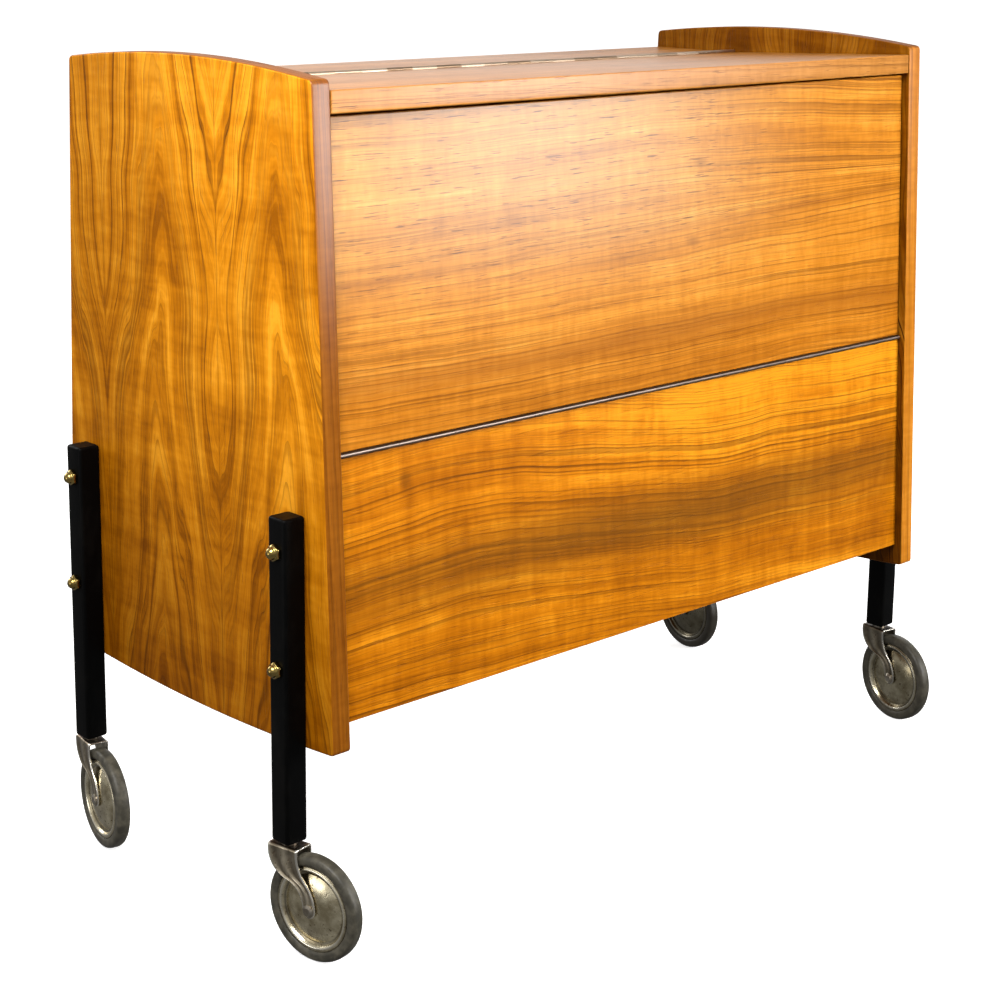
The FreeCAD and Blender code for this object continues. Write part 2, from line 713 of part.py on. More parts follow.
lower_board = board("lower_front_board", FRONT, INSIDE, ("front_recess", "door_thickness"),
                    ("lower_front_rise", "lower_front_top - lower_front_rise"))
keep(cut("lower_front_panel", lower_board, end_bores("lower_front_panel") + [flap_fixed_bores]))

flap_board = board("flap_board", FRONT, MOVING, ("front_recess", "door_thickness"),
                   ("flap_bottom", "flap_top - flap_bottom"))
keep(cut("flap_panel", flap_board, [flap_moving_bores] + list(stay_bores.values())))

lid_board = board("lid_board", FRONT, MOVING, ("0", "lid_depth - barrel_radius"),
                  ("lid_under", "lid_thickness"))
keep(cut("lid_panel", lid_board, [lid_moving_bores]))

# Inner shelf, level with the opened flap, on two battens
shelf_front = back_face("back_front", "shelf_level") + " - shelf_depth"
keep(level_board("inner_shelf", lambda height: shelf_front,
                 lambda height: back_face("back_front + seat_gap", height), "shelf_under", "shelf_level"))


def side_pair(name, width, inward, upward, frame):
    """The same block against the inner face of each side panel."""
    return keep(group(name, [
        board(f"{name}_left", frame, ("-inside_half", width), inward, upward),
        board(f"{name}_right", frame, (f"inside_half - {width}", width), inward, upward)]))


side_pair("shelf_battens", "batten_width",
          (f"{shelf_front} + batten_inset", "shelf_depth - 2 * batten_inset"),
          ("shelf_under - batten_height", "batten_height"), LEVEL)
side_pair("lid_rests", "rest_width", ("door_back + seat_gap", "rest_length"),
          ("lid_under - seat_gap - rest_height", "rest_height"), FRONT)


# Legs: square bars bolted outside the panels, bevelled round the socket at the foot
def leg(corner, side, end):
    name = f"leg_{corner}"
    half = "leg_size / 2"
    square = (("-" + half, "-" + half), (half, "-" + half), (half, half), ("-" + half, half))
    bar = prism(name + "_bar", "XY_Plane", square, "leg_length")

    def at_foot(edge):
        return edge.BoundBox.ZMax < value("leg_length") / 2

    def along_side_or_top(edge):
        return edge.BoundBox.ZMax > value("leg_length") / 2

    smooth_edges(bar, "PartDesign::Chamfer", name + "_bevel", "Size", "leg_chamfer_width", at_foot)
    smooth_edges(bar, "PartDesign::Fillet", name + "_round", "Radius", "leg_edge_radius", along_side_or_top)
    x = f"{side} * leg_x"
    y = leg_row(end)
    place(bar, x, y, "leg_bottom")
    socket_hole = doc.addObject("Part::Cylinder", name + "_socket_hole")
    bind(socket_hole, {"Radius": "socket_radius + fit_clearance", "Height": "stem_length + dowel_end_gap"})
    place(socket_hole, x, y, "leg_bottom")
    start = "outside_half" if side > 0 else "-outside_half - leg_size"
    return cut(name, bar, bolt_bores(name, start, "leg_size", (end,)) + [socket_hole])


for corner_name, side_sign, end_sign in CORNERS:
    keep(leg(corner_name, side_sign, end_sign))

# Sockets: flanged sleeves in the leg ends, closed at the top only by the wood
sleeve = turning("socket_pattern", "XZ_Plane", (
    ("socket_bore", "-socket_flange_thickness"), ("socket_flange_radius", "-socket_flange_thickness"),
    ("socket_flange_radius", "0"), ("socket_radius", "0"), ("socket_radius", "stem_length"),
    ("socket_bore", "stem_length")))
keep(copies("caster_sockets", sleeve, [
    Placement(Vector(side * value("leg_x"), value(leg_row(end)), value("leg_bottom")), Rotation())
    for name, side, end in CORNERS]))


# Casters: a bent sheet fork on a stem, and a disc wheel with a rubber tyre on a riveted axle
def fork(name):
    """The fork in its own frame: stem axis at the origin, trailing along +X, axle along Y."""
    half = "fork_length / 2"
    rear_bend = "(fork_rear_reach * fork_rear_reach + fork_fall * fork_fall) / (4 * fork_rear_reach)"
    front_bend = "(fork_front_reach * fork_front_reach + fork_fall * fork_fall) / (4 * fork_front_reach)"
    middle = "(fork_shoulder + wheel_radius) / 2"
    corners = (("-" + half, "fork_top"), ("-" + half, "fork_shoulder"),
               ("(fork_trail_length - fork_eye_radius - fork_length / 2) / 2", middle),
               ("fork_trail_length - fork_eye_radius", "wheel_radius"),
               ("fork_trail_length", "wheel_radius - fork_eye_radius"),
               ("fork_trail_length + fork_eye_radius", "wheel_radius"),
               ("(fork_trail_length + fork_eye_radius + fork_length / 2) / 2", middle),
               (half, "fork_shoulder"), (half, "fork_top"))
    arcs = {1: rear_bend, 2: f"-{rear_bend}", 3: "fork_eye_radius", 4: "fork_eye_radius",
            5: front_bend, 6: f"-{front_bend}"}
    blank = prism(name + "_blank", "XZ_Plane", corners, "2 * fork_half", arcs, both_ways=True)
    gap = board(name + "_gap", LEVEL, ("-2 * wheel_radius", "4 * wheel_radius"),
                ("-fork_inner_width / 2", "fork_inner_width"), ("0", "fork_underside"))
    axle_hole = doc.addObject("Part::Cylinder", name + "_axle_hole")
    bind(axle_hole, {"Radius": "axle_radius + fit_clearance", "Height": "4 * fork_half"})
    place(axle_hole, "fork_trail_length", "2 * fork_half", "wheel_radius", AXIS_X, "90")
    stem_hole = post(name + "_stem_hole", "stem_radius + fit_clearance", "0", "fork_top + collar_height")
    return cut(name, cut(name + "_sheet", blank, [gap]), [axle_hole, stem_hole])


def stem(name):
    return turning(name, "XZ_Plane", (
        ("0", "fork_underside - stem_head_height"), ("stem_head_radius", "fork_underside - stem_head_height"),
        ("stem_head_radius", "fork_underside"), ("stem_radius", "fork_underside"),
        ("stem_radius", "fork_top"), ("collar_radius", "fork_top"),
        ("collar_radius", "fork_top + collar_height"),
        ("stem_radius", "fork_top + collar_height"), ("stem_radius", "stem_top - stem_tip_height"),
        ("stem_radius - stem_tip_height", "stem_top"), ("0", "stem_top")))


def axle(name):
    tip = "fork_half + rivet_head_height"
    edge = "fork_half + rivet_head_edge"
    return turning(name, "XY_Plane", (
        ("0", f"-({tip})"), ("rivet_crown_radius", f"-({tip})"), ("rivet_head_radius", f"-({edge})"),
        ("rivet_head_radius", "-fork_half"), ("axle_radius", "-fork_half"), ("axle_radius", "fork_half"),
        ("rivet_head_radius", "fork_half"), ("rivet_head_radius", edge), ("rivet_crown_radius", tip),
        ("0", tip)))


def bush(name):
    return turning(name, "XY_Plane", (("bush_bore", "-bush_half"), ("bush_radius", "-bush_half"),
                                      ("bush_radius", "bush_half"), ("bush_bore", "bush_half")))


def tyre(name):
    lip = "tyre_lip_width / 2"
    wall = "bead_outer + tyre_wall_height"
    return turning(name, "XY_Plane", (
        ("bead_inner", "-bead_half"), ("bead_outer", "-bead_half"), ("bead_outer", f"-{lip}"),
        (wall, "-tyre_half"), ("tyre_shoulder", "-tyre_half"), ("tyre_shoulder", "tyre_half"),
        (wall, "tyre_half"), ("bead_outer", lip), ("bead_outer", "bead_half"), ("bead_inner", "bead_half")),
        {4: "(tyre_half * tyre_half + tyre_crown_height * tyre_crown_height) / (2 * tyre_crown_height)"})


def disc(name):
    """One pressed disc: domed hub, groove, raised ring and a flat rim on the tyre's bead."""
    step = "ring_inner + disc_ring_width / 3"
    return turning(name, "XY_Plane", (
        ("disc_bore", "hub_face - disc_thickness"), ("hub_flat_radius", "hub_face - disc_thickness"),
        ("dome_foot", "groove_face - disc_thickness"), ("ring_inner", "groove_face - disc_thickness"),
        (step, "ring_face - disc_thickness"), ("ring_outer - disc_thickness / 2", "ring_face - disc_thickness"),
        ("ring_outer", "bead_half"), ("disc_rim", "bead_half"), ("disc_rim", "bead_half + disc_thickness"),
        ("ring_outer", "ring_face"), (step, "ring_face"), ("ring_inner", "groove_face"),
        ("dome_foot", "groove_face"), ("hub_flat_radius", "hub_face"), ("disc_bore", "hub_face")),
        {1: "-dome_radius", 12: "dome_radius"})


def discs(name):
    far = disc(name + "_far")
    near = disc(name + "_near")
    place(near, axis=AXIS_X, angle="180")
    return group(name, [far, near])


for corner_name, side_sign, end_sign in CORNERS:
    heading = f"(swivel_{corner_name} - 90)"
    stem_x = f"{side_sign} * leg_x"
    stem_y = leg_row(end_sign)
    axle_x = f"{stem_x} + fork_trail_length * cos({heading})"
    axle_y = f"{stem_y} + fork_trail_length * sin({heading})"
    for maker, piece in ((fork, "caster_fork"), (stem, "caster_stem")):
        keep(place(maker(f"{piece}_{corner_name}"), stem_x, stem_y, "0", AXIS_Z, heading))
    for maker, piece in ((axle, "caster_axle"), (bush, "wheel_bush"), (discs, "wheel_discs"), (tyre, "tyre")):
        keep(place(maker(f"{piece}_{corner_name}"), axle_x, axle_y, "wheel_radius", AXIS_Z, heading))

# Check every feature, then write each piece to its own file.
doc.recompute()
failed = [item.Name for item in doc.Objects if "Invalid" in item.State or "Error" in item.State]
failed += [node.Name for node in nodes if node.Shape.isNull() or not node.Shape.isValid()]
if failed:
    raise RuntimeError("features that failed: " + ", ".join(failed))
os.makedirs("parts", exist_ok=True)
for node in nodes:
    node.Shape.exportStep(f"parts/{node.Label}.step")
print(len(nodes), "pieces,", sum(len(node.Shape.Solids) for node in nodes), "solids")
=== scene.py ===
import json
import math

import bpy
import numpy as np
from mathutils import Matrix, Vector


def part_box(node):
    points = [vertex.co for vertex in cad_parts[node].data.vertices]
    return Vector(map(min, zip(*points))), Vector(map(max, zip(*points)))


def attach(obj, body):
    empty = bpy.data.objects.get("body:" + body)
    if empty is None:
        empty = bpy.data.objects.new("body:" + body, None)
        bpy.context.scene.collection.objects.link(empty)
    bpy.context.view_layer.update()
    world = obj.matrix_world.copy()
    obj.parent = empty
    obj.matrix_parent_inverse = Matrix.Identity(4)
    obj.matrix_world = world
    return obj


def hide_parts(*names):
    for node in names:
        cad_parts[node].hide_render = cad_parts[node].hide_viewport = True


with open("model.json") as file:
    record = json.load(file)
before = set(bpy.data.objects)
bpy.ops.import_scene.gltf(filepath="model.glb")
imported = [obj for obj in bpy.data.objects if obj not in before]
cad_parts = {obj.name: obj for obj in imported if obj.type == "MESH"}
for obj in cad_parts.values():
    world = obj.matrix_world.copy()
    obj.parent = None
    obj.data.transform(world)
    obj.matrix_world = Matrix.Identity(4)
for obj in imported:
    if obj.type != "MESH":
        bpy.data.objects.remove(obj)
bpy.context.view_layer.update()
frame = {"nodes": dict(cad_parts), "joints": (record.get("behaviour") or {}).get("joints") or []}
scene = bpy.context.scene
scene.view_settings.view_transform = "Standard"

# Viewpoint: the trolley is seen from its front left corner, from a little above its top. The lens is
# long, and shifted down, so that the upright edges of the panels stay almost upright.
IMAGE_WIDTH = 994
IMAGE_HEIGHT = 995
FOCAL_PIXELS = 2065.8
OPTICAL_CENTRE = (497.0, 350.0)
YAW = 0.7567
PITCH = -0.2066
ROLL = 0.0115
EYE = Vector((-1.2587, -1.28895, 0.7767))

ahead = Vector((math.sin(YAW) * math.cos(PITCH), math.cos(YAW) * math.cos(PITCH), math.sin(PITCH)))
level_right = Vector((math.cos(YAW), -math.sin(YAW), 0))
level_up = level_right.cross(ahead)
right = math.cos(ROLL) * level_right + math.sin(ROLL) * level_up
up = -math.sin(ROLL) * level_right + math.cos(ROLL) * level_up
lens = bpy.data.cameras.new("viewpoint")
lens.sensor_fit = "HORIZONTAL"
lens.sensor_width = 36
lens.lens = FOCAL_PIXELS / IMAGE_WIDTH * lens.sensor_width
lens.shift_x = (IMAGE_WIDTH / 2 - OPTICAL_CENTRE[0]) / IMAGE_WIDTH
lens.shift_y = (OPTICAL_CENTRE[1] - IMAGE_HEIGHT / 2) / IMAGE_WIDTH
viewpoint = bpy.data.objects.new("viewpoint", lens)
viewpoint.matrix_world = Matrix.Translation(EYE) @ Matrix((right, up, -ahead)).transposed().to_4x4()
scene.collection.objects.link(viewpoint)
scene.camera = viewpoint


# Studio: a wide white floor inside a far white wall, under an even surround. A soft light hangs over the
# front left corner, the flap mirrors one at the front right and the wheels a low one, and three more
# light the lid, the back and the right side.
class Field:
    """One value that varies over a surface: a socket in a material's tree."""

    def __init__(self, tree, socket=None):
        self.tree = tree
        self.socket = socket

    def grow(self, kind, settings=None, inputs=None, output=0):
        """Add a node: its settings first, then the numbers, colours or fields of its sockets."""
        node = self.tree.nodes.new(kind)
        for key, setting in (settings or {}).items():
            if key == "stops":
                ramp = node.color_ramp.elements
                while len(ramp) < len(setting):
                    ramp.new(0.5)
                for stop, (place, colour) in zip(ramp, setting):
                    stop.position = place
                    stop.color = (*colour, 1)
            else:
                setattr(node, key, setting)
        for key, given in (inputs or {}).items():
            if isinstance(given, Field):
                self.tree.links.new(given.socket, node.inputs[key])
            else:
                node.inputs[key].default_value = given
        return Field(self.tree, node.outputs[output])

    def math(self, operation, *others):
        """One step of arithmetic, with the value first."""
        return self.grow("ShaderNodeMath", {"operation": operation}, dict(enumerate((self, *others))))

    def __add__(self, other):
        return self.math("ADD", other)

    __radd__ = __add__

    def __sub__(self, other):
        return self.math("SUBTRACT", other)

    def __rsub__(self, other):
        return self.grow("ShaderNodeMath", {"operation": "SUBTRACT"}, {0: other, 1: self})

    def __mul__(self, other):
        return self.math("MULTIPLY", other)

    __rmul__ = __mul__

    def __truediv__(self, other):
        return self.math("DIVIDE", other)

    def __pow__(self, other):
        return self.math("POWER", other)

    def __abs__(self):
        return self.math("ABSOLUTE")

    def step(self, low, high):
        """Smooth step: 0 below low, 1 above high."""
        return self.grow("ShaderNodeMapRange", {"interpolation_type": "SMOOTHSTEP"},
                         {"Value": self, "From Min": low, "From Max": high})

    def noise(self, detail=2.0, roughness=0.5):
        """Noise in one dimension, along the value itself."""
        return self.grow("ShaderNodeTexNoise", {"noise_dimensions": "1D"},
                         {"W": self, "Scale": 1.0, "Detail": detail, "Roughness": roughness})

    def grain(self, second, third, detail=2.0, roughness=0.5):
        """Noise in three dimensions, with the value as its first direction."""
        spot = self.grow("ShaderNodeCombineXYZ", {}, {0: self, 1: second, 2: third})
        return self.grow("ShaderNodeTexNoise", {},
                         {"Vector": spot, "Scale": 1.0, "Detail": detail, "Roughness": roughness})

    def ramp(self, stops):
        """Colour picked from a row of stops by the value."""
        return self.grow("ShaderNodeValToRGB", {"stops": stops}, {0: self})

    def blend(self, low, high, kind="MIX"):
        """Colour that goes from low to high with the value."""
        return self.grow("ShaderNodeMix", {"data_type": "RGBA", "blend_type": kind, "clamp_factor": True},
                         {0: self, 6: low, 7: high}, output=2)

    def parts(self):
        """The three numbers of a vector."""
        return [self.grow("ShaderNodeSeparateXYZ", {}, {0: self}, output=axis) for axis in range(3)]


def new_finish(name, **constants):
    """A material with fixed shader settings; returns it, its shader, and the surface's x, y and z."""
    material = bpy.data.materials.new(name)
    material.use_nodes = True
    tree = material.node_tree
    shader = tree.nodes["Principled BSDF"]
    for socket, setting in constants.items():
        shader.inputs[socket.replace("_", " ")].default_value = setting
    place = Field(tree).grow("ShaderNodeTexCoord", output="Object")
    return material, shader, place.parts()


def grid_faces(rows, columns, closed=False):
    """Four-cornered faces between neighbours on a grid of points; closed joins the ends of each row."""
    width = columns if closed else columns - 1
    row, column = np.meshgrid(np.arange(rows - 1), np.arange(width), indexing="ij")
    after = (column + 1) % columns
    return np.stack([row * columns + column, row * columns + after,
                     (row + 1) * columns + after, (row + 1) * columns + column], -1).reshape(-1, 4)


def put_in(name, vertices, faces):
    """A mesh object at the origin from an array of points and a list of faces."""
    mesh = bpy.data.meshes.new(name)
    mesh.from_pydata(np.asarray(vertices).tolist(), [], [list(map(int, face)) for face in faces])
    mesh.update()
    made = bpy.data.objects.new(name, mesh)
    scene.collection.objects.link(made)
    return made


FLOOR_HALF = 40.0
WALL_SIDES = 48
floor_paint = new_finish("pale_floor", Base_Color=(0.85, 0.85, 0.85, 1), Roughness=0.9,
                         Specular_IOR_Level=0.0, Emission_Color=(1, 1, 1, 1), Emission_Strength=0.66)[0]


def backdrop(name, vertices, faces):
    """A pale surface round the trolley, which neither lights it nor shows in its gloss."""
    made = put_in(name, vertices, faces)
    made.data.materials.append(floor_paint)
    made.visible_diffuse = False
    made.visible_glossy = False
    return made


floor = backdrop("floor", [(-FLOOR_HALF, -FLOOR_HALF, 0), (FLOOR_HALF, -FLOOR_HALF, 0),
                           (FLOOR_HALF, FLOOR_HALF, 0), (-FLOOR_HALF, FLOOR_HALF, 0)], [(0, 1, 2, 3)])
wall_turn = np.linspace(0, 2 * math.pi, WALL_SIDES, endpoint=False)
wall_ring = np.stack([np.cos(wall_turn), np.sin(wall_turn), np.zeros(WALL_SIDES)], -1) * FLOOR_HALF
wall = backdrop("far_wall", np.concatenate([wall_ring, wall_ring + (0, 0, FLOOR_HALF)]),
                grid_faces(2, WALL_SIDES, closed=True))
wall.visible_shadow = False

surround = bpy.data.worlds.new("surround")
surround.use_nodes = True
surround_tree = surround.node_tree
surround_rise = Field(surround_tree).grow("ShaderNodeTexCoord", output="Generated").parts()[2]
surround_height = surround_rise.grow("ShaderNodeMapRange", {}, {"Value": surround_rise, "From Min": -1.0})
surround_glow = surround_height.ramp([(0.44, (0.22, 0.22, 0.22)), (0.56, (0.56, 0.56, 0.56))])
surround_tree.links.new(surround_glow.socket, surround_tree.nodes["Background"].inputs["Color"])
scene.world = surround


def soft_light(name, place, target, size, power):
    """A square area light aimed at a point."""
    lamp = bpy.data.lights.new(name, "AREA")
    lamp.size = size
    lamp.energy = power
    light = bpy.data.objects.new(name, lamp)
    light.location = place
    light.rotation_mode = "QUATERNION"
    light.rotation_quaternion = (Vector(target) - Vector(place)).to_track_quat("-Z", "Y")
    light.visible_camera = False
    scene.collection.objects.link(light)


soft_light("front_left", (-0.90, -0.5, 1.28), (-0.2, 0, 0.5), 0.7, 25)
soft_light("front_right", (1.02, -1.74, 0.82), (-0.1, -0.15, 0.5), 0.85, 40)
soft_light("low_left", (-1.75, 0.2, 0.25), (-0.37, -0.1, 0.05), 0.5, 3)
soft_light("behind_right", (2.8, 2.9, 1.6), (0, 0, 0.6), 2.4, 8)
soft_light("behind_left", (-0.6, 2.4, 1.3), (0, 0, 0.4), 1.0, 22)
soft_light("right_side", (1.9, 0.35, 0.40), (0.36, 0.05, 0.40), 0.5, 11)


# Side panels: tapered boards, veneered on both faces in leaves that mirror each other along upright seams,
# with a solid lipping round the edge. The lid, fronts and bottom are held between them.
def lay_on(shader, colour, roughness, height, depth=0.0002, coat=None):
    """Link a finish's colour and roughness, its relief as bump of the given depth in metres, and where it
    is polished, the weight of its coat."""
    tree = colour.tree
    relief = height.grow("ShaderNodeBump", {}, {"Strength": 1.0, "Distance": depth, "Height": height})
    tree.links.new(colour.socket, shader.inputs["Base Color"])
    tree.links.new(roughness.socket, shader.inputs["Roughness"])
    tree.links.new(relief.socket, shader.inputs["Normal"])
    if coat is not None:
        tree.links.new(coat.socket, shader.inputs["Coat Weight"])


EDGE_SOFTNESS = 0.0014
EDGE_STEPS = 5


def soft_board(name, outline, start, thickness, flat, softness=EDGE_SOFTNESS):
    """A board with eased edges: its outline is carried through its thickness, and drawn in along a quarter
    circle at each face. flat turns arrays of across, up and depth into points."""
    outline = np.asarray(outline, float)
    edge = np.roll(outline, -1, 0) - outline
    edge /= np.linalg.norm(edge, axis=1)[:, None]
    outward = np.stack([edge[:, 1], -edge[:, 0]], 1)
    before = np.roll(outward, 1, 0)
    mitre = (outward + before) / (1 + (outward * before).sum(1))[:, None]
    turn = np.linspace(0, math.pi / 2, EDGE_STEPS)
    drawn_in = (1 - np.sin(turn)) * softness
    sunk = (1 - np.cos(turn)) * softness
    inset = np.concatenate([drawn_in, drawn_in[::-1]])
    depth = np.concatenate([sunk, thickness - sunk[::-1]])
    rings = outline[None] - mitre[None] * inset[:, None, None]
    points = flat(rings[..., 0], rings[..., 1], np.broadcast_to(start + depth[:, None], rings.shape[:2]))
    count = len(outline)
    sides = grid_faces(len(inset), count, closed=True)
    first_cap = np.arange(count)[::-1]
    last_cap = np.arange(count) + (len(inset) - 1) * count
    made = put_in(name, points.reshape(-1, 3), [*sides, first_cap, last_cap])
    smooth = np.ones(len(made.data.polygons), bool)
    smooth[-2:] = False
    made.data.polygons.foreach_set("use_smooth", smooth)
    return made


ARC_STEPS = 48
CORNER_STEPS = 6


def eased_outline(corners, bulges, radius):
    """Corner points joined by straight sides or by shallow arcs of the given rise, with the corners rounded
    along a parabola."""
    corners = np.asarray(corners, float)
    path = []
    for start, end, rise in zip(corners, np.roll(corners, -1, 0), bulges):
        chord = end - start
        length = np.linalg.norm(chord)
        ease = radius / length
        share = np.linspace(ease, 1 - ease, 2 if rise == 0 else ARC_STEPS)[:, None]
        out = np.array([chord[1], -chord[0]]) / length
        path.append(start + chord * share + out * rise * 4 * share * (1 - share))
    loop = []
    share = np.linspace(0, 1, CORNER_STEPS)[1:-1, None]
    left = 1 - share
    for side, following, corner in zip(path, path[1:] + path[:1], np.roll(corners, -1, 0)):
        loop.append(side)
        loop.append(left ** 2 * side[-1] + 2 * share * left * corner + share ** 2 * following[0])
    return np.concatenate(loop)


PANEL_LOW = 0.1665
PANEL_HEIGHT = 0.497
PANEL_HALF_TOP = 0.1575
PANEL_HALF_LOW = 0.1785
PANEL_MIDDLE = 0.01275
PANEL_THICKNESS = 0.017
PANEL_OUTSIDE = 0.36
PANEL_ARCH_LOW = 0.008
PANEL_ARCH_TOP = 0.0099
PANEL_CORNER = 0.004
panel_outline = eased_outline(
    [(PANEL_MIDDLE - PANEL_HALF_LOW, PANEL_LOW), (PANEL_MIDDLE + PANEL_HALF_LOW, PANEL_LOW),
     (PANEL_MIDDLE + PANEL_HALF_TOP, PANEL_LOW + PANEL_HEIGHT),
     (PANEL_MIDDLE - PANEL_HALF_TOP, PANEL_LOW + PANEL_HEIGHT)],
    [PANEL_ARCH_LOW, 0, PANEL_ARCH_TOP, 0], PANEL_CORNER)


def upright_points(across, height, depth):
    """Points of a board that stands across the width, such as a side panel."""
    return np.stack([depth, across, height], -1)


DARK_LINE = (0.120, 0.034, 0.002, 1)


def veneer_layers(ring, along, across, tones, spacing, lines, ripple_depth, bands, band_depth,
                  lift=0.0, pores=0.18):
    """Colour, gloss and relief of veneer. Each growth ring darkens slowly and ends sharply; rings differ in
    width and strength, and fade along the grain. Light and dark bands gather several rings. Fibres and
    pores are drawn out along the grain, and a ripple and fine flecks lie across it."""
    uneven = ring / spacing + (ring * 52).noise(2.0) * 5.0
    late = uneven.math("FRACT") ** 5.0
    fade = (along * 3.5).grain(ring * 45, 3.3, 1.0).step(0.25, 0.60) * 0.65 + 0.35
    strength = (uneven.math("FLOOR") * 7.31).noise(0.0).step(0.20, 0.60) * fade
    hair = (along * 1.5).grain(ring * 430, 2.0, 2.0, 0.6).step(0.50, 0.68)
    streak = (along * 2.2).grain(ring * bands, 7.0, 5.0, 0.70)
    fibre = (along * 7).grain(across * 750, ring * 30, 3.0, 0.65)
    pore = (along * 48).grain(across * 800, ring * 50, 1.0).step(0.62, 0.70)
    ripple = (along * 48).grain(across * 8, ring * 4, 3.0, 0.6)
    fleck = (along * 150).grain(across * 45, 0.0, 2.0)
    cloud = (along * 6).grain(across * 8, 0.0, 2.0, 0.5)
    level = (streak - 0.5) * band_depth + (cloud - 0.5) * 0.5 + (fibre - 0.5) * 0.35
    level = level + (ripple - 0.5) * ripple_depth + (fleck - 0.5) * 0.32 + lift + 0.54
    dark = (late * strength + hair * 0.42) * lines + pore * pores
    colour = dark.blend(level.ramp(tones), DARK_LINE)
    gloss = fibre * 0.12 + pore * 0.12 + 0.30
    relief = fibre * 0.4 - pore * 0.8
    return colour, gloss, relief


SATIN_WOOD = dict(Specular_IOR_Level=0.04, Coat_Roughness=0.38)
SIDE_TONES = [(0.10, (0.26, 0.076, 0.0008)), (0.40, (0.45, 0.146, 0.002)), (0.62, (0.58, 0.205, 0.005)),
              (0.92, (0.76, 0.310, 0.016))]
LIPPING_TONES = [(0.10, (0.20, 0.062, 0.005)), (0.50, (0.38, 0.130, 0.012)), (0.90, (0.58, 0.235, 0.035))]
LEAF_WIDTH = 0.155
LEAF_SEAM = -0.0285


def bell(distance, width):
    """A soft hump, 1 in the middle and 0 beyond the width."""
    return 1 - abs(distance).step(0.0, width)


def panel_veneer(name, sign):
    """Mirrored leaves of crown-cut veneer: rings are distances from a tapering trunk's heart, cut beside it,
    so they peak upward in the middle of each leaf and meet downward at the seams."""
    material, shader, (x, y, z) = new_finish(name, **SATIN_WOOD)
    seed = sign * 2.3
    mirrored = ((y - LEAF_SEAM) / LEAF_WIDTH).math("PINGPONG", 1.0)
    wander = (z * 5 + seed).noise(1.5)
    across = (mirrored - 0.5) * LEAF_WIDTH + (wander - 0.5) * 0.050
    warp = (z * 4 + seed).grain(mirrored * 5, seed, 2.0)
    ring = (across * across + 0.010 ** 2).math("SQRT") + z * 0.15 + warp * 0.026 + seed
    off_middle = abs(mirrored - 0.5)
    lines = abs(across).step(0.004, 0.045) * 0.5 + 0.5 - off_middle.step(0.34, 0.49) * 0.60
    patches = bell(abs(y + 0.060) - 0.057, 0.030) * bell(z - 0.374, 0.060) * 0.14
    colour, gloss, relief = veneer_layers(ring, z, y, SIDE_TONES, 0.0062, lines, 0.75, 55, 2.8, patches)
    seam = off_middle.step(0.494, 0.4995)
    colour = (seam * 0.45).blend(colour, DARK_LINE)
    # Painted shade: the side panels darken towards the bottom, where less light falls.
    shade = z.step(0.14, 0.44)
    colour = (1 - shade).blend(colour, (0.46, 0.40, 0.20, 1), "MULTIPLY")
    # Painted shade: the side panels are darker towards the back.
    colour = y.step(0.0, 0.13).blend(colour, (0.76, 0.74, 0.72, 1), "MULTIPLY")
    edge_ring = y * 0.35 + x + (z * 5).grain(x * 60, y * 20, 2.0) * 0.006
    edge_colour, edge_gloss, edge_relief = veneer_layers(
        edge_ring, z, x, LIPPING_TONES, 0.0045, 0.6, 0.10, 60, 1.0)
    normal_x, normal_y, normal_z = x.grow("ShaderNodeNewGeometry", output="Normal").parts()
    outward = normal_x * sign
    forward = (normal_y * -1.0).step(0.4, 0.8)
    # Painted light and shade: the right panel's front edge is brightened and the left panel's darkened, as
    # the light falls from the right.
    front_edge_light_and_shade = (0.94 + 0.36 * sign, 0.89 + 0.41 * sign, 0.60 + 0.35 * sign, 1)
    edge_colour = forward.blend(edge_colour, front_edge_light_and_shade, "MULTIPLY")
    # Painted shade: edges that face upward are darkened.
    edge_colour = normal_z.step(0.4, 0.8).blend(edge_colour, (0.62, 0.56, 0.5, 1), "MULTIPLY")
    # Painted shade: the panels' inner faces are darkened, as little light reaches them.
    inside = (outward * -1.0).step(0.5, 0.8)
    colour = inside.blend(colour, (0.38, 0.35, 0.38, 1), "MULTIPLY")
    face = abs(outward).step(0.55, 0.85)
    colour = face.blend(edge_colour, colour)
    gloss = face * (gloss - edge_gloss) + edge_gloss
    relief = face * (relief - edge_relief) + edge_relief
    polish = (1 - face) * forward * z.step(0.42, 0.64) * (0.65 - 0.20 * sign)
    lay_on(shader, colour, gloss, relief, coat=polish)
    return material


for side, sign in (("left", -1.0), ("right", 1.0)):
    start = -PANEL_OUTSIDE if sign < 0 else PANEL_OUTSIDE - PANEL_THICKNESS
    panel = soft_board(f"veneered_side_{side}", panel_outline, start, PANEL_THICKNESS, upright_points)
    panel.data.materials.append(panel_veneer(f"mirrored_veneer_{side}", sign))
    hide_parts(f"side_panel_{side}")
    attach(panel, "carcass")


# Fixed front and rear top: veneered boards dowelled between the side panels, with the grain across the
# trolley. The front leans back with the panels' edges; the flap's hinge is screwed to its top edge.
LEAN = math.atan2(PANEL_HALF_LOW - PANEL_HALF_TOP, PANEL_HEIGHT)
FRONT_FOOT = np.array([PANEL_MIDDLE - PANEL_HALF_LOW, PANEL_LOW])
FRONT_INWARD = np.array([math.cos(LEAN), -math.sin(LEAN)])
FRONT_UPWARD = np.array([math.sin(LEAN), math.cos(LEAN)])
INSIDE_HALF = PANEL_OUTSIDE - PANEL_THICKNESS
BOARD_CORNER = 0.0012
BOARD_EASE = 0.0008
FRONT_SETBACK = 0.0072
FRONT_THICKNESS = 0.016
LOWER_FOOT = 0.0195
LOWER_TOP = 0.2219
REAR_TOP_SLOPE = 0.0007
EDGE_SLANT = 0.6


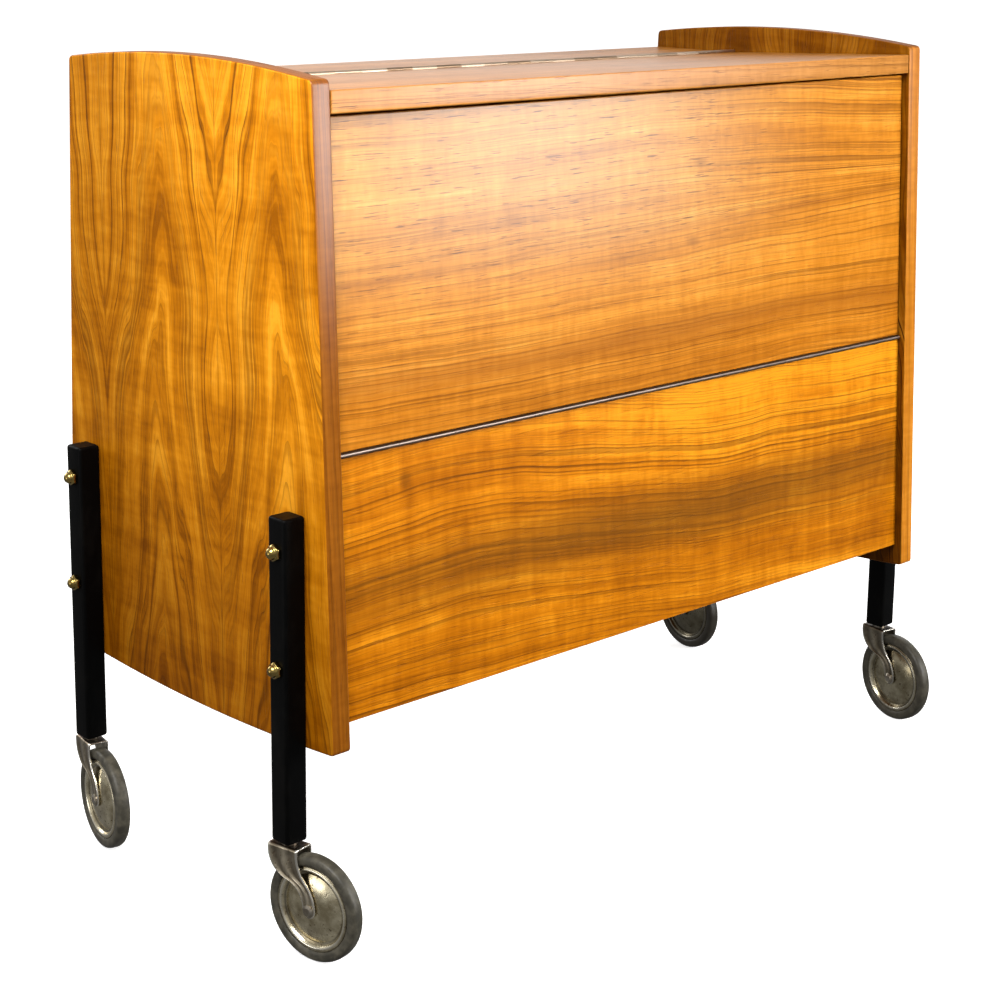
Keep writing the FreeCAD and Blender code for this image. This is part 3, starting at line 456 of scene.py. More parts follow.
def front_points(inward, upward, depth):
    """Points of a board that is square to the leaning front; depth runs across the trolley."""
    place = FRONT_FOOT + inward[..., None] * FRONT_INWARD + upward[..., None] * FRONT_UPWARD
    return np.stack([depth, place[..., 0], place[..., 1]], -1)


def box_outline(low, high):
    """The four corners of a rectangle, with small rounded corners."""
    corners = [(low[0], low[1]), (high[0], low[1]), (high[0], high[1]), (low[0], high[1])]
    return eased_outline(corners, [0, 0, 0, 0], BOARD_CORNER)


def front_height(y, z, front, level):
    """Height on a front board above the given level, carried on over its edges at a slant."""
    return z - level + (y - front) * EDGE_SLANT


def knot_distance(x, z, knot_x, knot_z, narrowing):
    """Distance from the heart of a knot: the root of the height squared plus the width squared, which
    counts by its narrowing."""
    aside = x - knot_x
    above = z - knot_z
    return (aside * aside * narrowing + above * above).math("SQRT")


LOWER_TONES = [(0.10, (0.24, 0.064, 0.001)), (0.40, (0.42, 0.121, 0.0015)), (0.62, (0.56, 0.175, 0.003)),
               (0.92, (0.80, 0.295, 0.010))]
lower_veneer, lower_shader, (lower_x, lower_y, lower_z) = new_finish("lower_front_veneer", **SATIN_WOOD)
lower_up = front_height(lower_y, lower_z, -0.155, 0.186)
lower_wave = (lower_x * 3.2).noise(1.0) * 0.030 + (lower_x * 9).grain(lower_up * 9, 1.7, 2.0) * 0.010
lower_hump = bell(lower_x + 0.215, 0.16) * 0.011 * lower_up.step(0.0, 0.08)
lower_ring = lower_up + lower_x * 0.062 - lower_hump + lower_wave
lower_glow = lower_x.step(-0.30, 0.16) * lower_up.step(0.11, 0.18) * 0.40
lower_colour, lower_gloss, lower_relief = veneer_layers(
    lower_ring + 1.3, lower_x, lower_up, LOWER_TONES, 0.0052, 0.85, 0.60, 45, 1.5, lower_glow)
lower_band = bell(lower_up + lower_x * 0.012 + lower_wave * 0.6 - 0.104, 0.046)
lower_band = lower_band * (bell(lower_x - 0.04, 0.50) * 0.40 + 0.30)
lower_colour = lower_band.blend(lower_colour, (0.115, 0.043, 0.005, 1))
lower_knot = knot_distance(lower_x, lower_z, -0.277, 0.361, 1.96)
lower_colour = ((1 - lower_knot.step(0.002, 0.011)) * 0.55).blend(lower_colour, DARK_LINE)
lay_on(lower_shader, lower_colour, lower_gloss, lower_relief)
lower_outline = box_outline((FRONT_SETBACK, LOWER_FOOT), (FRONT_SETBACK + FRONT_THICKNESS, LOWER_TOP))
lower_front = soft_board("fixed_front", lower_outline, -INSIDE_HALF, 2 * INSIDE_HALF, front_points,
                         BOARD_EASE)
lower_front.data.materials.append(lower_veneer)
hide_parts("lower_front_panel")
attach(lower_front, "carcass")

TOP_TONES = [(0.10, (0.25, 0.084, 0.010)), (0.40, (0.38, 0.144, 0.020)), (0.62, (0.49, 0.195, 0.034)),
             (0.92, (0.62, 0.275, 0.064))]
top_veneer, top_shader, (top_x, top_y, top_z) = new_finish("top_veneer", **SATIN_WOOD)
top_over = top_y + top_z
top_ring = top_over + top_x * 0.02 + (top_x * 2.5).noise(1.0) * 0.016
top_ring = top_ring + (top_x * 8).grain(top_over * 9, 4.4, 2.0) * 0.006
top_colour, top_gloss, top_relief = veneer_layers(
    top_ring + 2.6, top_x, top_over, TOP_TONES, 0.0050, 0.6, 0.25, 45, 1.2, pores=0.40)
top_rise = (top_y - FRONT_FOOT[0]) * FRONT_UPWARD[0] + (top_z - FRONT_FOOT[1]) * FRONT_UPWARD[1]
top_polish = (0.84 - top_x.step(0.05, 0.32) * 0.70) * top_rise.step(0.4735, 0.4760)
lay_on(top_shader, top_colour, top_gloss, top_relief, coat=top_polish)
rear_low, rear_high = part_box("rear_top")
rear_outline = eased_outline([(rear_low.y, rear_low.z), (rear_high.y, rear_low.z),
                              (rear_high.y - REAR_TOP_SLOPE, rear_high.z), (rear_low.y, rear_high.z)],
                             [0, 0, 0, 0], BOARD_CORNER)
rear_top = soft_board("rear_top_strip", rear_outline, -INSIDE_HALF, 2 * INSIDE_HALF, upright_points,
                      BOARD_EASE)
rear_top.data.materials.append(top_veneer)
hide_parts("rear_top")
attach(rear_top, "carcass")


# Inner boards: the bottom, the back, the shelf with its battens, the lid's rests and the dowels are plain
# lighter wood, glued or screwed in place, with a thin coat of lacquer.
def repaint(node, material):
    """Give a piece of the model another finish."""
    slots = frame["nodes"][node].data.materials
    slots.clear()
    slots.append(material)


def plain_wood(name, tones):
    """Plain boards with the grain across the trolley: broad wavy figure with weak lines."""
    material, shader, (x, y, z) = new_finish(name, Specular_IOR_Level=0.12)
    over = y * 0.8 + z
    ring = over + (x * 3).grain(y * 5, z * 5, 2.0) * 0.035
    colour, gloss, relief = veneer_layers(ring, x, over, tones, 0.0085, 0.45, 0.15, 45, 1.3)
    lay_on(shader, colour, gloss + 0.10, relief)
    return material


INNER_TONES = [(0.10, (0.32, 0.130, 0.026)), (0.50, (0.50, 0.235, 0.060)), (0.90, (0.68, 0.365, 0.115))]
DOWEL_TONES = [(0.10, (0.52, 0.34, 0.17)), (0.90, (0.72, 0.52, 0.30))]
inner_wood = plain_wood("plain_inner_wood", INNER_TONES)
for node in ("bottom_panel", "back_panel", "inner_shelf", "shelf_battens", "lid_rests"):
    repaint(node, inner_wood)
repaint("carcass_dowels", plain_wood("raw_dowel_wood", DOWEL_TONES))


# Legs: square hardwood bars in satin black lacquer, with every edge eased by hand and both ends rounded
# over. Two bolts hold each to the outside of a side panel.
CORNERS = ("front_left", "front_right", "rear_left", "rear_right")
LEG_CORNER = 0.0032
LEG_EASE = 0.0022
leg_lacquer, leg_shader, (leg_x, leg_y, leg_z) = new_finish("satin_black_lacquer", Specular_IOR_Level=0.05)
leg_brush = (leg_x * 500).grain(leg_y * 500, leg_z * 14, 2.0)
leg_wear = (leg_x * 45).grain(leg_y * 45, leg_z * 25, 3.0, 0.7)
leg_colour = leg_wear.step(0.45, 0.8).blend((0.0008, 0.0008, 0.0008, 1), (0.0030, 0.0028, 0.0024, 1))
lay_on(leg_shader, leg_colour, leg_wear * 0.2 + 0.36, leg_brush, 0.00004)


def bar_points(across, along, depth):
    """Points of an upright bar: its section lies level, and depth runs up it."""
    return np.stack([across, along, depth], -1)


for corner in CORNERS:
    low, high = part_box(f"leg_{corner}")
    section = eased_outline([(low.x, low.y), (high.x, low.y), (high.x, high.y), (low.x, high.y)],
                            [0, 0, 0, 0], LEG_CORNER)
    leg = soft_board(f"black_leg_{corner}", section, low.z, high.z - low.z, bar_points, LEG_EASE)
    leg.data.materials.append(leg_lacquer)
    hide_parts(f"leg_{corner}")
    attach(leg, "carcass")


# Leg bolts and dome nuts: steel bolts through panel and leg, with polished brass dome nuts outside. A nut
# has a six-sided foot with a bevelled shoulder, and a round cap.
def worn_metal(name, bright, dark, smooth, rough, specks=0.0):
    """Metal with cloudy tarnish, fine scratches and brown specks."""
    material, shader, (x, y, z) = new_finish(name, Metallic=1.0)
    cloud = (x * 70).grain(y * 70, z * 70, 3.0, 0.65)
    scratch = (x * 60).grain(y * 900, z * 260, 2.0)
    speck = (x * 380).grain(y * 380, z * 380, 2.0).step(0.63, 0.72) * specks
    level = cloud * 0.8 + scratch * 0.2
    colour = speck.blend(level.step(0.32, 0.68).blend((*dark, 1), (*bright, 1)), (0.085, 0.045, 0.022, 1))
    lay_on(shader, colour, level * (smooth - rough) + rough + speck * 0.3, scratch * 0.3 - speck, 0.0001)
    return material


TURN_STEPS = 96


def turned(radius, along, centre, axis, segments=TURN_STEPS):
    """A turned piece: a profile of radius and distance along the axis, carried round the axis. A radius may
    also be an array with one column for each step round."""
    centre = np.asarray(centre, float)
    axis = np.asarray(axis, float) / np.linalg.norm(axis)
    aside = np.cross(axis, (0, 0, 1)) if abs(axis[2]) < 0.9 else np.array([1.0, 0, 0])
    aside = aside / np.linalg.norm(aside)
    third = np.cross(axis, aside)
    turn = np.linspace(0, 2 * math.pi, segments, endpoint=False)
    radius = np.asarray(radius, float)
    radius = radius[:, None] * np.ones(segments) if radius.ndim == 1 else radius
    along = np.asarray(along, float)
    spokes = np.cos(turn)[:, None] * aside + np.sin(turn)[:, None] * third
    return centre + radius[..., None] * spokes[None] + along[:, None, None] * axis


def smooth_piece(name, grids, closed_profile=False):
    """One mesh from grids of points that are each closed round; an open profile ends on its axis or is
    hidden."""
    points = []
    faces = []
    first = 0
    for grid in grids:
        rows, columns = grid.shape[:2]
        made_faces = grid_faces(rows, columns, closed=True)
        if closed_profile:
            start = np.arange(columns)
            last = (rows - 1) * columns + start
            seam = np.stack([last, np.roll(last, -1), np.roll(start, -1), start], 1)
            made_faces = np.concatenate([made_faces, seam])
        points.append(grid.reshape(-1, 3))
        faces.append(made_faces + first)
        first += rows * columns
    made = put_in(name, np.concatenate(points), np.concatenate(faces))
    made.data.polygons.foreach_set("use_smooth", np.ones(len(made.data.polygons), bool))
    return made


NUT_STEPS = 72
NUT_CORNER = 0.0068
NUT_FOOT = 0.0036
NUT_DOME = 0.0048
NUT_SEAT = 0.380
HALF_FLAT = math.pi / 6
BOLT_ROWS = (-0.124765, 0.150264)
BOLT_HEIGHTS = (0.3195, 0.2285)
nut_turn = np.linspace(0, 2 * math.pi, NUT_STEPS, endpoint=False)
nut_off_flat = (nut_turn + HALF_FLAT) % (2 * HALF_FLAT) - HALF_FLAT
hexagon = NUT_CORNER * math.cos(HALF_FLAT) / np.cos(nut_off_flat)
dome_turn = np.linspace(0.12, math.pi / 2, 12)
nut_radius = np.concatenate([
    [hexagon * 0.001, hexagon * 0.96, hexagon, hexagon, np.minimum(hexagon, NUT_CORNER * 0.90),
     np.full(NUT_STEPS, NUT_DOME * 1.06)],
    (np.cos(dome_turn) * NUT_DOME)[:, None] * np.ones(NUT_STEPS)])
nut_along = np.concatenate([[0, 0, 0.0003, NUT_FOOT - 0.0009, NUT_FOOT - 0.0002, NUT_FOOT],
                            NUT_FOOT + np.sin(dome_turn) * NUT_DOME])
nut_grids = []
for sign in (-1, 1):
    for row in BOLT_ROWS:
        for height in BOLT_HEIGHTS:
            seat = (sign * NUT_SEAT, row, height)
            nut_grids.append(turned(nut_radius, nut_along, seat, (sign, 0, 0), NUT_STEPS))
dome_nuts = smooth_piece("brass_dome_nuts", nut_grids)
nut_brass = worn_metal("polished_brass", (0.40, 0.29, 0.09), (0.20, 0.135, 0.04), 0.14, 0.30, 0.35)
dome_nuts.data.materials.append(nut_brass)
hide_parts("dome_nuts")
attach(dome_nuts, "carcass")
plain_steel = worn_metal("plain_steel", (0.50, 0.48, 0.44), (0.28, 0.26, 0.23), 0.30, 0.45)
repaint("leg_bolts", plain_steel)
repaint("caster_sockets", plain_steel)


# Casters: a fork bent from sheet steel, its cheeks pressed with ribs that run down to the axle, with painted
# shade in the hollows of the ribs and the edges painted bright, worn metal and a painted highlight. The
# wheel is two pressed and domed steel discs, a brass bush and a solid rubber tyre. The right-hand casters
# carry painted shade, the rear one most.
FORK_TOP = 0.0883
FORK_SHOULDER = 0.0833
FORK_HALF = 0.0090
FORK_METAL = 0.0018
FORK_HALF_LENGTH = 0.0145
TRAIL = 0.0255
AXLE_HEIGHT = 0.0425
EYE_RADIUS = 0.0060
BEND = 0.0022
RIB_DEPTH = 0.0009
FACE_STEPS = 33


def sway(height, top, foot):
    """Edge of a cheek: two equal arcs that leave the top and reach the foot upright."""
    reach = foot - top
    fall = FORK_SHOULDER - AXLE_HEIGHT
    bend = (reach ** 2 + fall ** 2) / (4 * reach)
    down = np.clip(FORK_SHOULDER - height, 0, fall)
    upper = top + bend - np.sqrt(np.maximum(bend ** 2 - np.minimum(down, fall / 2) ** 2, 0))
    rest = np.minimum(fall - down, fall / 2)
    lower = foot - bend + np.sqrt(np.maximum(bend ** 2 - rest ** 2, 0))
    return np.where(down < fall / 2, upper, lower)


def fork_surface():
    """The sheet's outer face follows a path up one cheek, over the crown and down the other. At each step a
    thin closed section runs across it: ribbed outer face, rounded edge, inner face, rounded edge. Returns
    its points, and the place of each across the sheet, from -1 to 1."""
    eye = AXLE_HEIGHT - EYE_RADIUS * np.cos(np.linspace(0.02, math.pi / 2, 10))
    cheek = np.concatenate([eye, np.linspace(AXLE_HEIGHT, FORK_TOP - BEND, 40)[1:]])
    turn = np.linspace(0, math.pi / 2, 7)[1:]
    crown = np.linspace(FORK_HALF - BEND, 0, 5)[1:]
    cheek_ones = np.ones(len(cheek))
    crown_ones = np.ones(len(crown))
    side_y = np.concatenate([cheek_ones * FORK_HALF, FORK_HALF - BEND + BEND * np.cos(turn), crown])
    side_z = np.concatenate([cheek, FORK_TOP - BEND + BEND * np.sin(turn), crown_ones * FORK_TOP])
    out_y = np.concatenate([cheek_ones, np.cos(turn), crown_ones * 0])
    out_z = np.concatenate([cheek_ones * 0, np.sin(turn), crown_ones])
    path_y = np.concatenate([side_y, -side_y[-2::-1]])
    path_z = np.concatenate([side_z, side_z[-2::-1]])
    out_y = np.concatenate([out_y, -out_y[-2::-1]])
    out_z = np.concatenate([out_z, out_z[-2::-1]])
    half_eye = np.sqrt(np.maximum(EYE_RADIUS ** 2 - (AXLE_HEIGHT - path_z) ** 2, 1e-12))
    in_eye = path_z < AXLE_HEIGHT
    rear = np.where(in_eye, TRAIL - half_eye, sway(path_z, -FORK_HALF_LENGTH, TRAIL - EYE_RADIUS))
    front = np.where(in_eye, TRAIL + half_eye, sway(path_z, FORK_HALF_LENGTH, TRAIL + EYE_RADIUS))
    middle = (rear + front) / 2
    half = (front - rear) / 2
    face = np.linspace(-1, 1, FACE_STEPS)
    flat = np.zeros(FACE_STEPS)
    edge = np.linspace(0, math.pi, 9)[1:-1]
    edge_ones = np.ones(len(edge))
    across = np.concatenate([face, edge_ones, face[::-1], -edge_ones])
    beyond = np.concatenate([flat, np.sin(edge), flat, -np.sin(edge)])
    depth = np.concatenate([flat, (1 - np.cos(edge)) / 2, flat + 1, (1 + np.cos(edge)) / 2])
    outer = np.concatenate([flat + 1, edge_ones * 0, flat, edge_ones * 0])
    rounding = np.minimum(FORK_METAL / 2, half * 0.6)
    pressed = (0.5 - 0.5 * np.cos(2 * math.pi * across)) * (np.abs(across) < 0.999)
    above_eye = np.clip((path_z - AXLE_HEIGHT - 0.004) / 0.014, 0, 1)
    below_crown = np.clip((FORK_TOP - path_z - 0.002) / 0.004, 0, 1)
    groove = RIB_DEPTH * pressed * outer * (above_eye * below_crown)[:, None]
    inward = depth * FORK_METAL + groove
    x = middle[:, None] + across * (half - rounding)[:, None] + beyond * rounding[:, None]
    y = path_y[:, None] - out_y[:, None] * inward
    z = path_z[:, None] - out_z[:, None] * inward
    return np.stack([x, y, z], -1), np.broadcast_to(across, x.shape)


def steps_on(made, name, steps):
    """Keep one number for each point of a mesh, for its finish to read."""
    layer = made.data.attributes.new(name, "FLOAT", "POINT")
    layer.data.foreach_set("value", np.asarray(steps, np.float32).ravel())


def read_steps(field, name):
    """The numbers that a mesh keeps under a name."""
    return field.grow("ShaderNodeAttribute", {"attribute_name": name}, output="Fac")


def shade_right_casters(colour, x, y):
    """Painted shade: the casters of the right-hand side are darkened, and the rear one most, as they stand
    in the trolley's shadow.
    """
    weight = x.step(-0.2, 0.3) * (y.step(-0.10, 0.12) * 0.40 + 0.38)
    return weight.blend(colour, (0.020, 0.016, 0.010, 1))


fork_points, fork_across = fork_surface()
fork_steel, fork_shader, (fork_x, fork_y, fork_z) = new_finish("worn_fork_nickel", Metallic=1.0)
fork_side = read_steps(fork_x, "across")
fork_cloud = (fork_x * 90).grain(fork_y * 90, fork_z * 60, 3.0, 0.65)
fork_speck = (fork_x * 420).grain(fork_y * 420, fork_z * 420, 2.0).step(0.60, 0.72)
fork_hollow_shade = (fork_side * (2 * math.pi)).math("COSINE") * -0.5 + 0.5
fork_edge_wear_and_highlight = abs(fork_side).step(0.86, 1.0)
fork_crown_top_dark = fork_z.step(FORK_TOP - 0.0012, FORK_TOP - 0.0002) * (1 - fork_edge_wear_and_highlight)
fork_colour = fork_cloud.step(0.3, 0.7).blend((0.27, 0.225, 0.155, 1), (0.53, 0.465, 0.350, 1))
# Painted shade in the pressed hollows of the ribs.
fork_colour = (fork_hollow_shade * 0.58).blend(fork_colour, (0.075, 0.055, 0.033, 1))
fork_colour = (fork_speck * 0.6).blend(fork_colour, (0.06, 0.034, 0.018, 1))
# The top of the crown is darkened.
fork_colour = (fork_crown_top_dark * 0.85).blend(fork_colour, (0.050, 0.026, 0.014, 1))
# The sheet's edges are painted bright: worn metal and a painted highlight.
fork_colour = (fork_edge_wear_and_highlight * 0.9).blend(fork_colour, (0.78, 0.74, 0.66, 1))
fork_gloss = fork_cloud * 0.2 + fork_speck * 0.15 + 0.24 - fork_edge_wear_and_highlight * 0.12
lay_on(fork_shader, shade_right_casters(fork_colour, fork_x, fork_y), fork_gloss, fork_cloud * 0.3 - fork_speck * 0.6,
       0.00012)

RIM = 0.0336
RIM_FACE = 0.0036
RING_OUTER = 0.0326
RING_INNER = 0.0288
RING_FACE = 0.0032
RING_RISE = 0.0016
RING_ROLL = 0.0014
DOME_FOOT = 0.0272
DOME_FACE = 0.0024
DOME_RISE = 0.0043
GROOVE_RISE = 0.0008
HUB = 0.0090
BUSH_HOLE = 0.0052
disc_radius = np.concatenate([
    [BUSH_HOLE], np.linspace(HUB * 0.75, DOME_FOOT, 30), np.linspace(DOME_FOOT, RING_INNER, 7)[1:],
    np.linspace(RING_INNER, RING_OUTER, 13)[1:], [RIM - 0.0002, RIM, RIM]])
dome_share = np.clip((disc_radius - HUB) / (DOME_FOOT - HUB), 0, 1)
ring_share = np.clip((disc_radius - RING_INNER) / (RING_OUTER - RING_INNER), 0, 1)
groove_share = np.clip((disc_radius - DOME_FOOT) / (RING_INNER - DOME_FOOT), 0, 1)
disc_dome = DOME_FACE + DOME_RISE * (1 - dome_share ** 2) + GROOVE_RISE * groove_share
disc_ring = RING_FACE + RING_RISE * ring_share + RING_ROLL * np.sin(math.pi * ring_share)
disc_face = np.where(disc_radius > RING_INNER, disc_ring, disc_dome)
disc_face[-1] = RIM_FACE

disc_steel, disc_shader, (disc_x, disc_y, disc_z) = new_finish("worn_disc_nickel", Metallic=1.0)
disc_reach = read_steps(disc_x, "reach")
disc_cloud = (disc_x * 80).grain(disc_y * 80, disc_z * 80, 3.0, 0.65)
disc_speck = (disc_x * 300).grain(disc_y * 300, disc_z * 300, 2.0).step(0.62, 0.74)
disc_brown = (disc_x * 45).grain(disc_y * 45, disc_z * 45, 2.0).step(0.52, 0.72)
disc_groove_shade = bell(disc_reach - 0.0280, 0.0016) + bell(disc_reach - RIM, 0.0012)
disc_colour = disc_cloud.step(0.3, 0.7).blend((0.40, 0.335, 0.205, 1), (0.76, 0.680, 0.480, 1))
disc_colour = (disc_brown * 0.42).blend(disc_colour, (0.15, 0.105, 0.050, 1))
disc_colour = (disc_speck * 0.75).blend(disc_colour, (0.065, 0.036, 0.018, 1))
# Painted shade in the groove round the dome and at the rim beside the tyre.
disc_colour = (disc_groove_shade * 0.7).blend(disc_colour, (0.055, 0.040, 0.024, 1))
# Painted highlight along the crest of the ring.
disc_colour = (bell(disc_reach - 0.0310, 0.0018) * 0.85).blend(disc_colour, (0.80, 0.75, 0.63, 1))
lay_on(disc_shader, shade_right_casters(disc_colour, disc_x, disc_y), disc_cloud * 0.12 + disc_speck * 0.2 + 0.19,
       disc_cloud * 0.25 - disc_speck * 0.5, 0.00012)

TYRE_OUTER = 0.0423
TYRE_INNER = 0.0330
TYRE_HALF = 0.0060


def squared(wave, power):
    """A wave with fuller crests: its sign times a power of its size."""
    return np.sign(wave) * np.abs(wave) ** power


tyre_turn = np.linspace(0, 2 * math.pi, 48, endpoint=False)
tyre_middle = (TYRE_OUTER + TYRE_INNER) / 2
tyre_radius = tyre_middle + (TYRE_OUTER - TYRE_INNER) / 2 * squared(np.cos(tyre_turn), 0.72)
tyre_along = TYRE_HALF * squared(np.sin(tyre_turn), 0.62)
tyre_rubber, tyre_shader, (tyre_x, tyre_y, tyre_z) = new_finish("grey_black_rubber", Specular_IOR_Level=0.30)
tyre_dust = (tyre_x * 110).grain(tyre_y * 110, tyre_z * 110, 3.0, 0.65)
tyre_colour = tyre_dust.step(0.30, 0.80).blend((0.032, 0.029, 0.021, 1), (0.090, 0.080, 0.057, 1))
lay_on(tyre_shader, shade_right_casters(tyre_colour, tyre_x, tyre_y), tyre_dust * 0.2 + 0.36, tyre_dust, 0.0002)

rivet_steel = worn_metal("worn_rivet_steel", (0.45, 0.41, 0.34), (0.20, 0.17, 0.13), 0.22, 0.42, 0.6)
joints = {joint["name"]: joint for joint in frame["joints"]}
for corner in CORNERS:
    stem = np.array(joints[f"swivel_{corner}"]["pos_m"])
    axle = np.array(joints[f"roll_{corner}"]["pos_m"])
    axis = np.array(joints[f"roll_{corner}"]["axis"], float)
    trailing = (axle - stem)[:2] / np.linalg.norm((axle - stem)[:2])
    local_x = np.array([trailing[0], trailing[1], 0])
    local_y = np.array([-trailing[1], trailing[0], 0])
    placed = (stem * (1, 1, 0) + fork_points[..., :1] * local_x + fork_points[..., 1:2] * local_y
              + fork_points[..., 2:] * (0, 0, 1))
    fork = smooth_piece(f"pressed_fork_{corner}", [placed])
    steps_on(fork, "across", fork_across)
    fork.data.materials.append(fork_steel)
    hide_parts(f"caster_fork_{corner}")
    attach(fork, f"swivel_{corner}")

    discs = smooth_piece(f"domed_discs_{corner}", [turned(disc_radius, disc_face, axle, axis),
                                                   turned(disc_radius, disc_face, axle, -axis)])
    steps_on(discs, "reach", np.tile(np.repeat(disc_radius, TURN_STEPS), 2))
    discs.data.materials.append(disc_steel)
    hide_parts(f"wheel_discs_{corner}")
    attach(discs, f"wheel_{corner}")

    tyre_grid = turned(tyre_radius, tyre_along, axle, axis)
    tyre = smooth_piece(f"rubber_tyre_{corner}", [tyre_grid], closed_profile=True)
    tyre.data.materials.append(tyre_rubber)
    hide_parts(f"tyre_{corner}")
    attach(tyre, f"wheel_{corner}")

    repaint(f"caster_stem_{corner}", rivet_steel)
    repaint(f"caster_axle_{corner}", rivet_steel)
    repaint(f"wheel_bush_{corner}", nut_brass)


# Lid: a veneered board that lies between the side panels, square to the leaning front, and folds up and
# back on a piano hinge. The hinge is rolled steel with knuckles about an inch long, dulled, with painted
# glints on its knuckles and painted shade in the gaps beside the barrel.
MOVING_HALF = INSIDE_HALF - 0.001
LID_UNDERSIDE = 0.47304
LID_THICKNESS = 0.017
LID_DEPTH = 0.2089
lid_outline = box_outline((0.0, LID_UNDERSIDE), (LID_DEPTH, LID_UNDERSIDE + LID_THICKNESS))
lid = soft_board("folding_lid", lid_outline, -MOVING_HALF, 2 * MOVING_HALF, front_points, BOARD_EASE)
lid.data.materials.append(top_veneer)
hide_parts("lid_panel")
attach(lid, "lid")

BARREL_RADIUS = 0.0021
KNUCKLES_PER_METRE = 35.3


def hinge_metal(name, joint, dull, bright, glint_spread, gap_shade):
    """Dulled metal with a faint cloudy tarnish. Painted glints: along the barrel the knuckles differ in
    brightness by the given glint spread. Painted shade darkens the gaps beside the barrel."""
    material, shader, (x, y, z) = new_finish(name, Metallic=1.0)
    behind = y - joints[joint]["pos_m"][1]
    above = z - joints[joint]["pos_m"][2]
    reach = (behind * behind + above * above).math("SQRT")
    barrel = 1 - reach.step(BARREL_RADIUS, BARREL_RADIUS * 1.3)
    knuckle = (x * KNUCKLES_PER_METRE).math("FLOOR")
    # Painted glints: the knuckles' brightness differs from one to the next.
    knuckle_glint = ((knuckle * 5.7).noise(0.0).step(0.25, 0.75) - 0.5) * glint_spread * barrel
    cloud = (x * 60).grain(y * 200, z * 200, 3.0, 0.6)
    level = knuckle_glint + (cloud - 0.5) * 0.5 + 0.5
    # Painted shade darkens the gaps beside the barrel.
    colour = gap_shade(behind, above).blend(level.blend((*dull, 1), (*bright, 1)), (0.030, 0.018, 0.011, 1))
    lay_on(shader, colour, cloud * 0.2 + 0.30, cloud, 0.00005)
    return material


# Painted shade lies on the leaves beside the lid hinge's barrel, and its knuckles carry painted glints.
lid_hinge_steel = hinge_metal("lid_hinge_metal", "lid_hinge", (0.36, 0.25, 0.16), (0.68, 0.54, 0.40), 1.4,
                              lambda behind, above: abs(behind).step(0.0012, 0.0022) * 0.3)
for node in ("lid_hinge_fixed_leaf", "lid_hinge_moving_leaf", "lid_hinge_pin"):
    repaint(node, lid_hinge_steel)


# Flap: a veneered board that drops forward to level on a second piano hinge. Two curved stays of flat steel
# hold it there; they slide through guides on the side panels.
FLAP_FOOT = 0.2261
FLAP_TOP = 0.47104
FLAP_TONES = [(0.10, (0.34, 0.105, 0.004)), (0.40, (0.52, 0.175, 0.009)), (0.62, (0.66, 0.240, 0.018)),
              (0.92, (0.84, 0.360, 0.045))]
flap_veneer, flap_shader, (flap_x, flap_y, flap_z) = new_finish("flap_veneer", **SATIN_WOOD)
flap_up = front_height(flap_y, flap_z, -0.147, 0.390)
flap_right = flap_x.math("MAXIMUM", 0.0)
flap_wave = (flap_x * 2.4 + 0.7).noise(1.0) * 0.016 + (flap_x * 8).grain(flap_up * 10, 7.1, 2.0) * 0.008
flap_ring = (flap_up - flap_x * flap_up.step(0.07, 0.135) * 0.037
             + flap_right * flap_up.step(0.140, 0.180) * 0.077 + flap_wave)
flap_inward = (flap_y - FRONT_FOOT[0]) * FRONT_INWARD[0] + (flap_z - FRONT_FOOT[1]) * FRONT_INWARD[1]
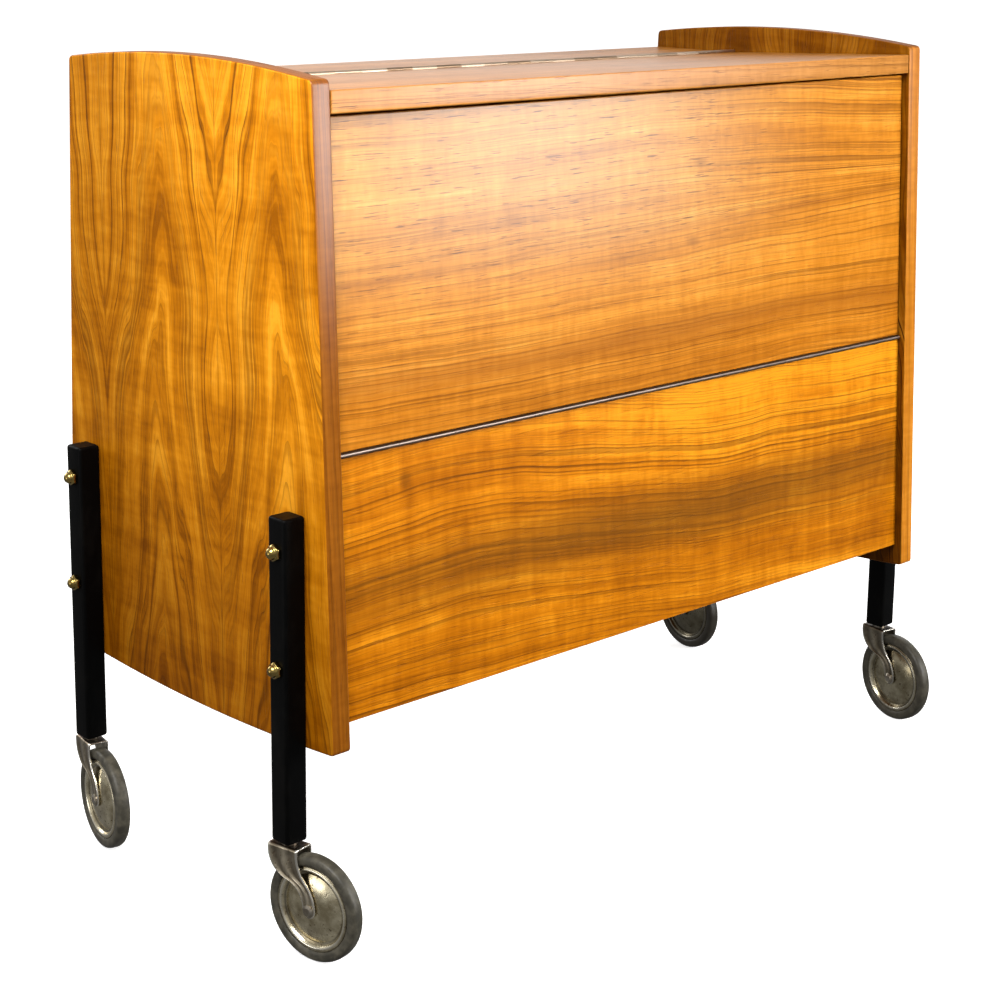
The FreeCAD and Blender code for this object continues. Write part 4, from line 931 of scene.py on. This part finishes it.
# Where the flap is polished, strongest at the upper left; the same map lays on a painted highlight.
flap_polish_and_highlight = (1 - flap_x.step(0.0, 0.28) * 0.88) * (flap_up.step(0.03, 0.19) * 0.9 + 0.1)
flap_polish_and_highlight = flap_polish_and_highlight * (1 - flap_inward.step(0.0085, 0.0125))
flap_colour, flap_gloss, flap_relief = veneer_layers(
    flap_ring + 4.1, flap_x, flap_up, FLAP_TONES, 0.0050, 0.90 - flap_polish_and_highlight * 0.30, 0.35, 45, 1.4,
    pores=flap_polish_and_highlight * 0.60 + 0.06)
flap_band = bell(flap_ring - 0.059, 0.022) * 0.50 + bell(flap_ring - 0.148, 0.006) * 0.30
flap_colour = flap_band.blend(flap_colour, (0.29, 0.088, 0.008, 1))
# Painted shade: the flap is darker and warmer near its foot.
flap_colour = (1 - flap_up.step(0.02, 0.09)).blend(flap_colour, (0.90, 0.85, 0.70, 1), "MULTIPLY")
# Painted highlight: the polished part's colour is paled and cooled, as by the front right lamp's reflection.
flap_colour = flap_polish_and_highlight.blend(flap_colour, (0.86, 0.98, 1.30, 1), "MULTIPLY")
for knot_x, knot_z in ((0.059, 0.5763), (0.049, 0.5102)):
    flap_knot = knot_distance(flap_x, flap_z, knot_x, knot_z, 0.35)
    flap_colour = ((1 - flap_knot.step(0.001, 0.007)) * 0.35).blend(flap_colour, DARK_LINE)
lay_on(flap_shader, flap_colour, flap_gloss, flap_relief, coat=flap_polish_and_highlight)
flap_outline = box_outline((FRONT_SETBACK, FLAP_FOOT), (FRONT_SETBACK + FRONT_THICKNESS, FLAP_TOP))
flap = soft_board("drop_flap", flap_outline, -MOVING_HALF, 2 * MOVING_HALF, front_points, BOARD_EASE)
flap.data.materials.append(flap_veneer)
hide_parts("flap_panel")
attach(flap, "flap")

# Painted shade: dark lines above and below the flap hinge's barrel.
flap_hinge_steel = hinge_metal("flap_hinge_metal", "flap_hinge", (0.110, 0.082, 0.066), (0.21, 0.165, 0.140),
                               0.35, lambda behind, above: abs(above).step(0.0009, 0.0015) * 0.75)
for node in ("flap_hinge_fixed_leaf", "flap_hinge_moving_leaf", "flap_hinge_pin"):
    repaint(node, flap_hinge_steel)
for node in ("flap_stay_left", "flap_stay_right", "stay_guides", "lid_hinge_fixed_screws",
             "lid_hinge_moving_screws", "flap_hinge_fixed_screws", "flap_hinge_moving_screws",
             "flap_stay_screws", "stay_guide_screws"):
    repaint(node, plain_steel)
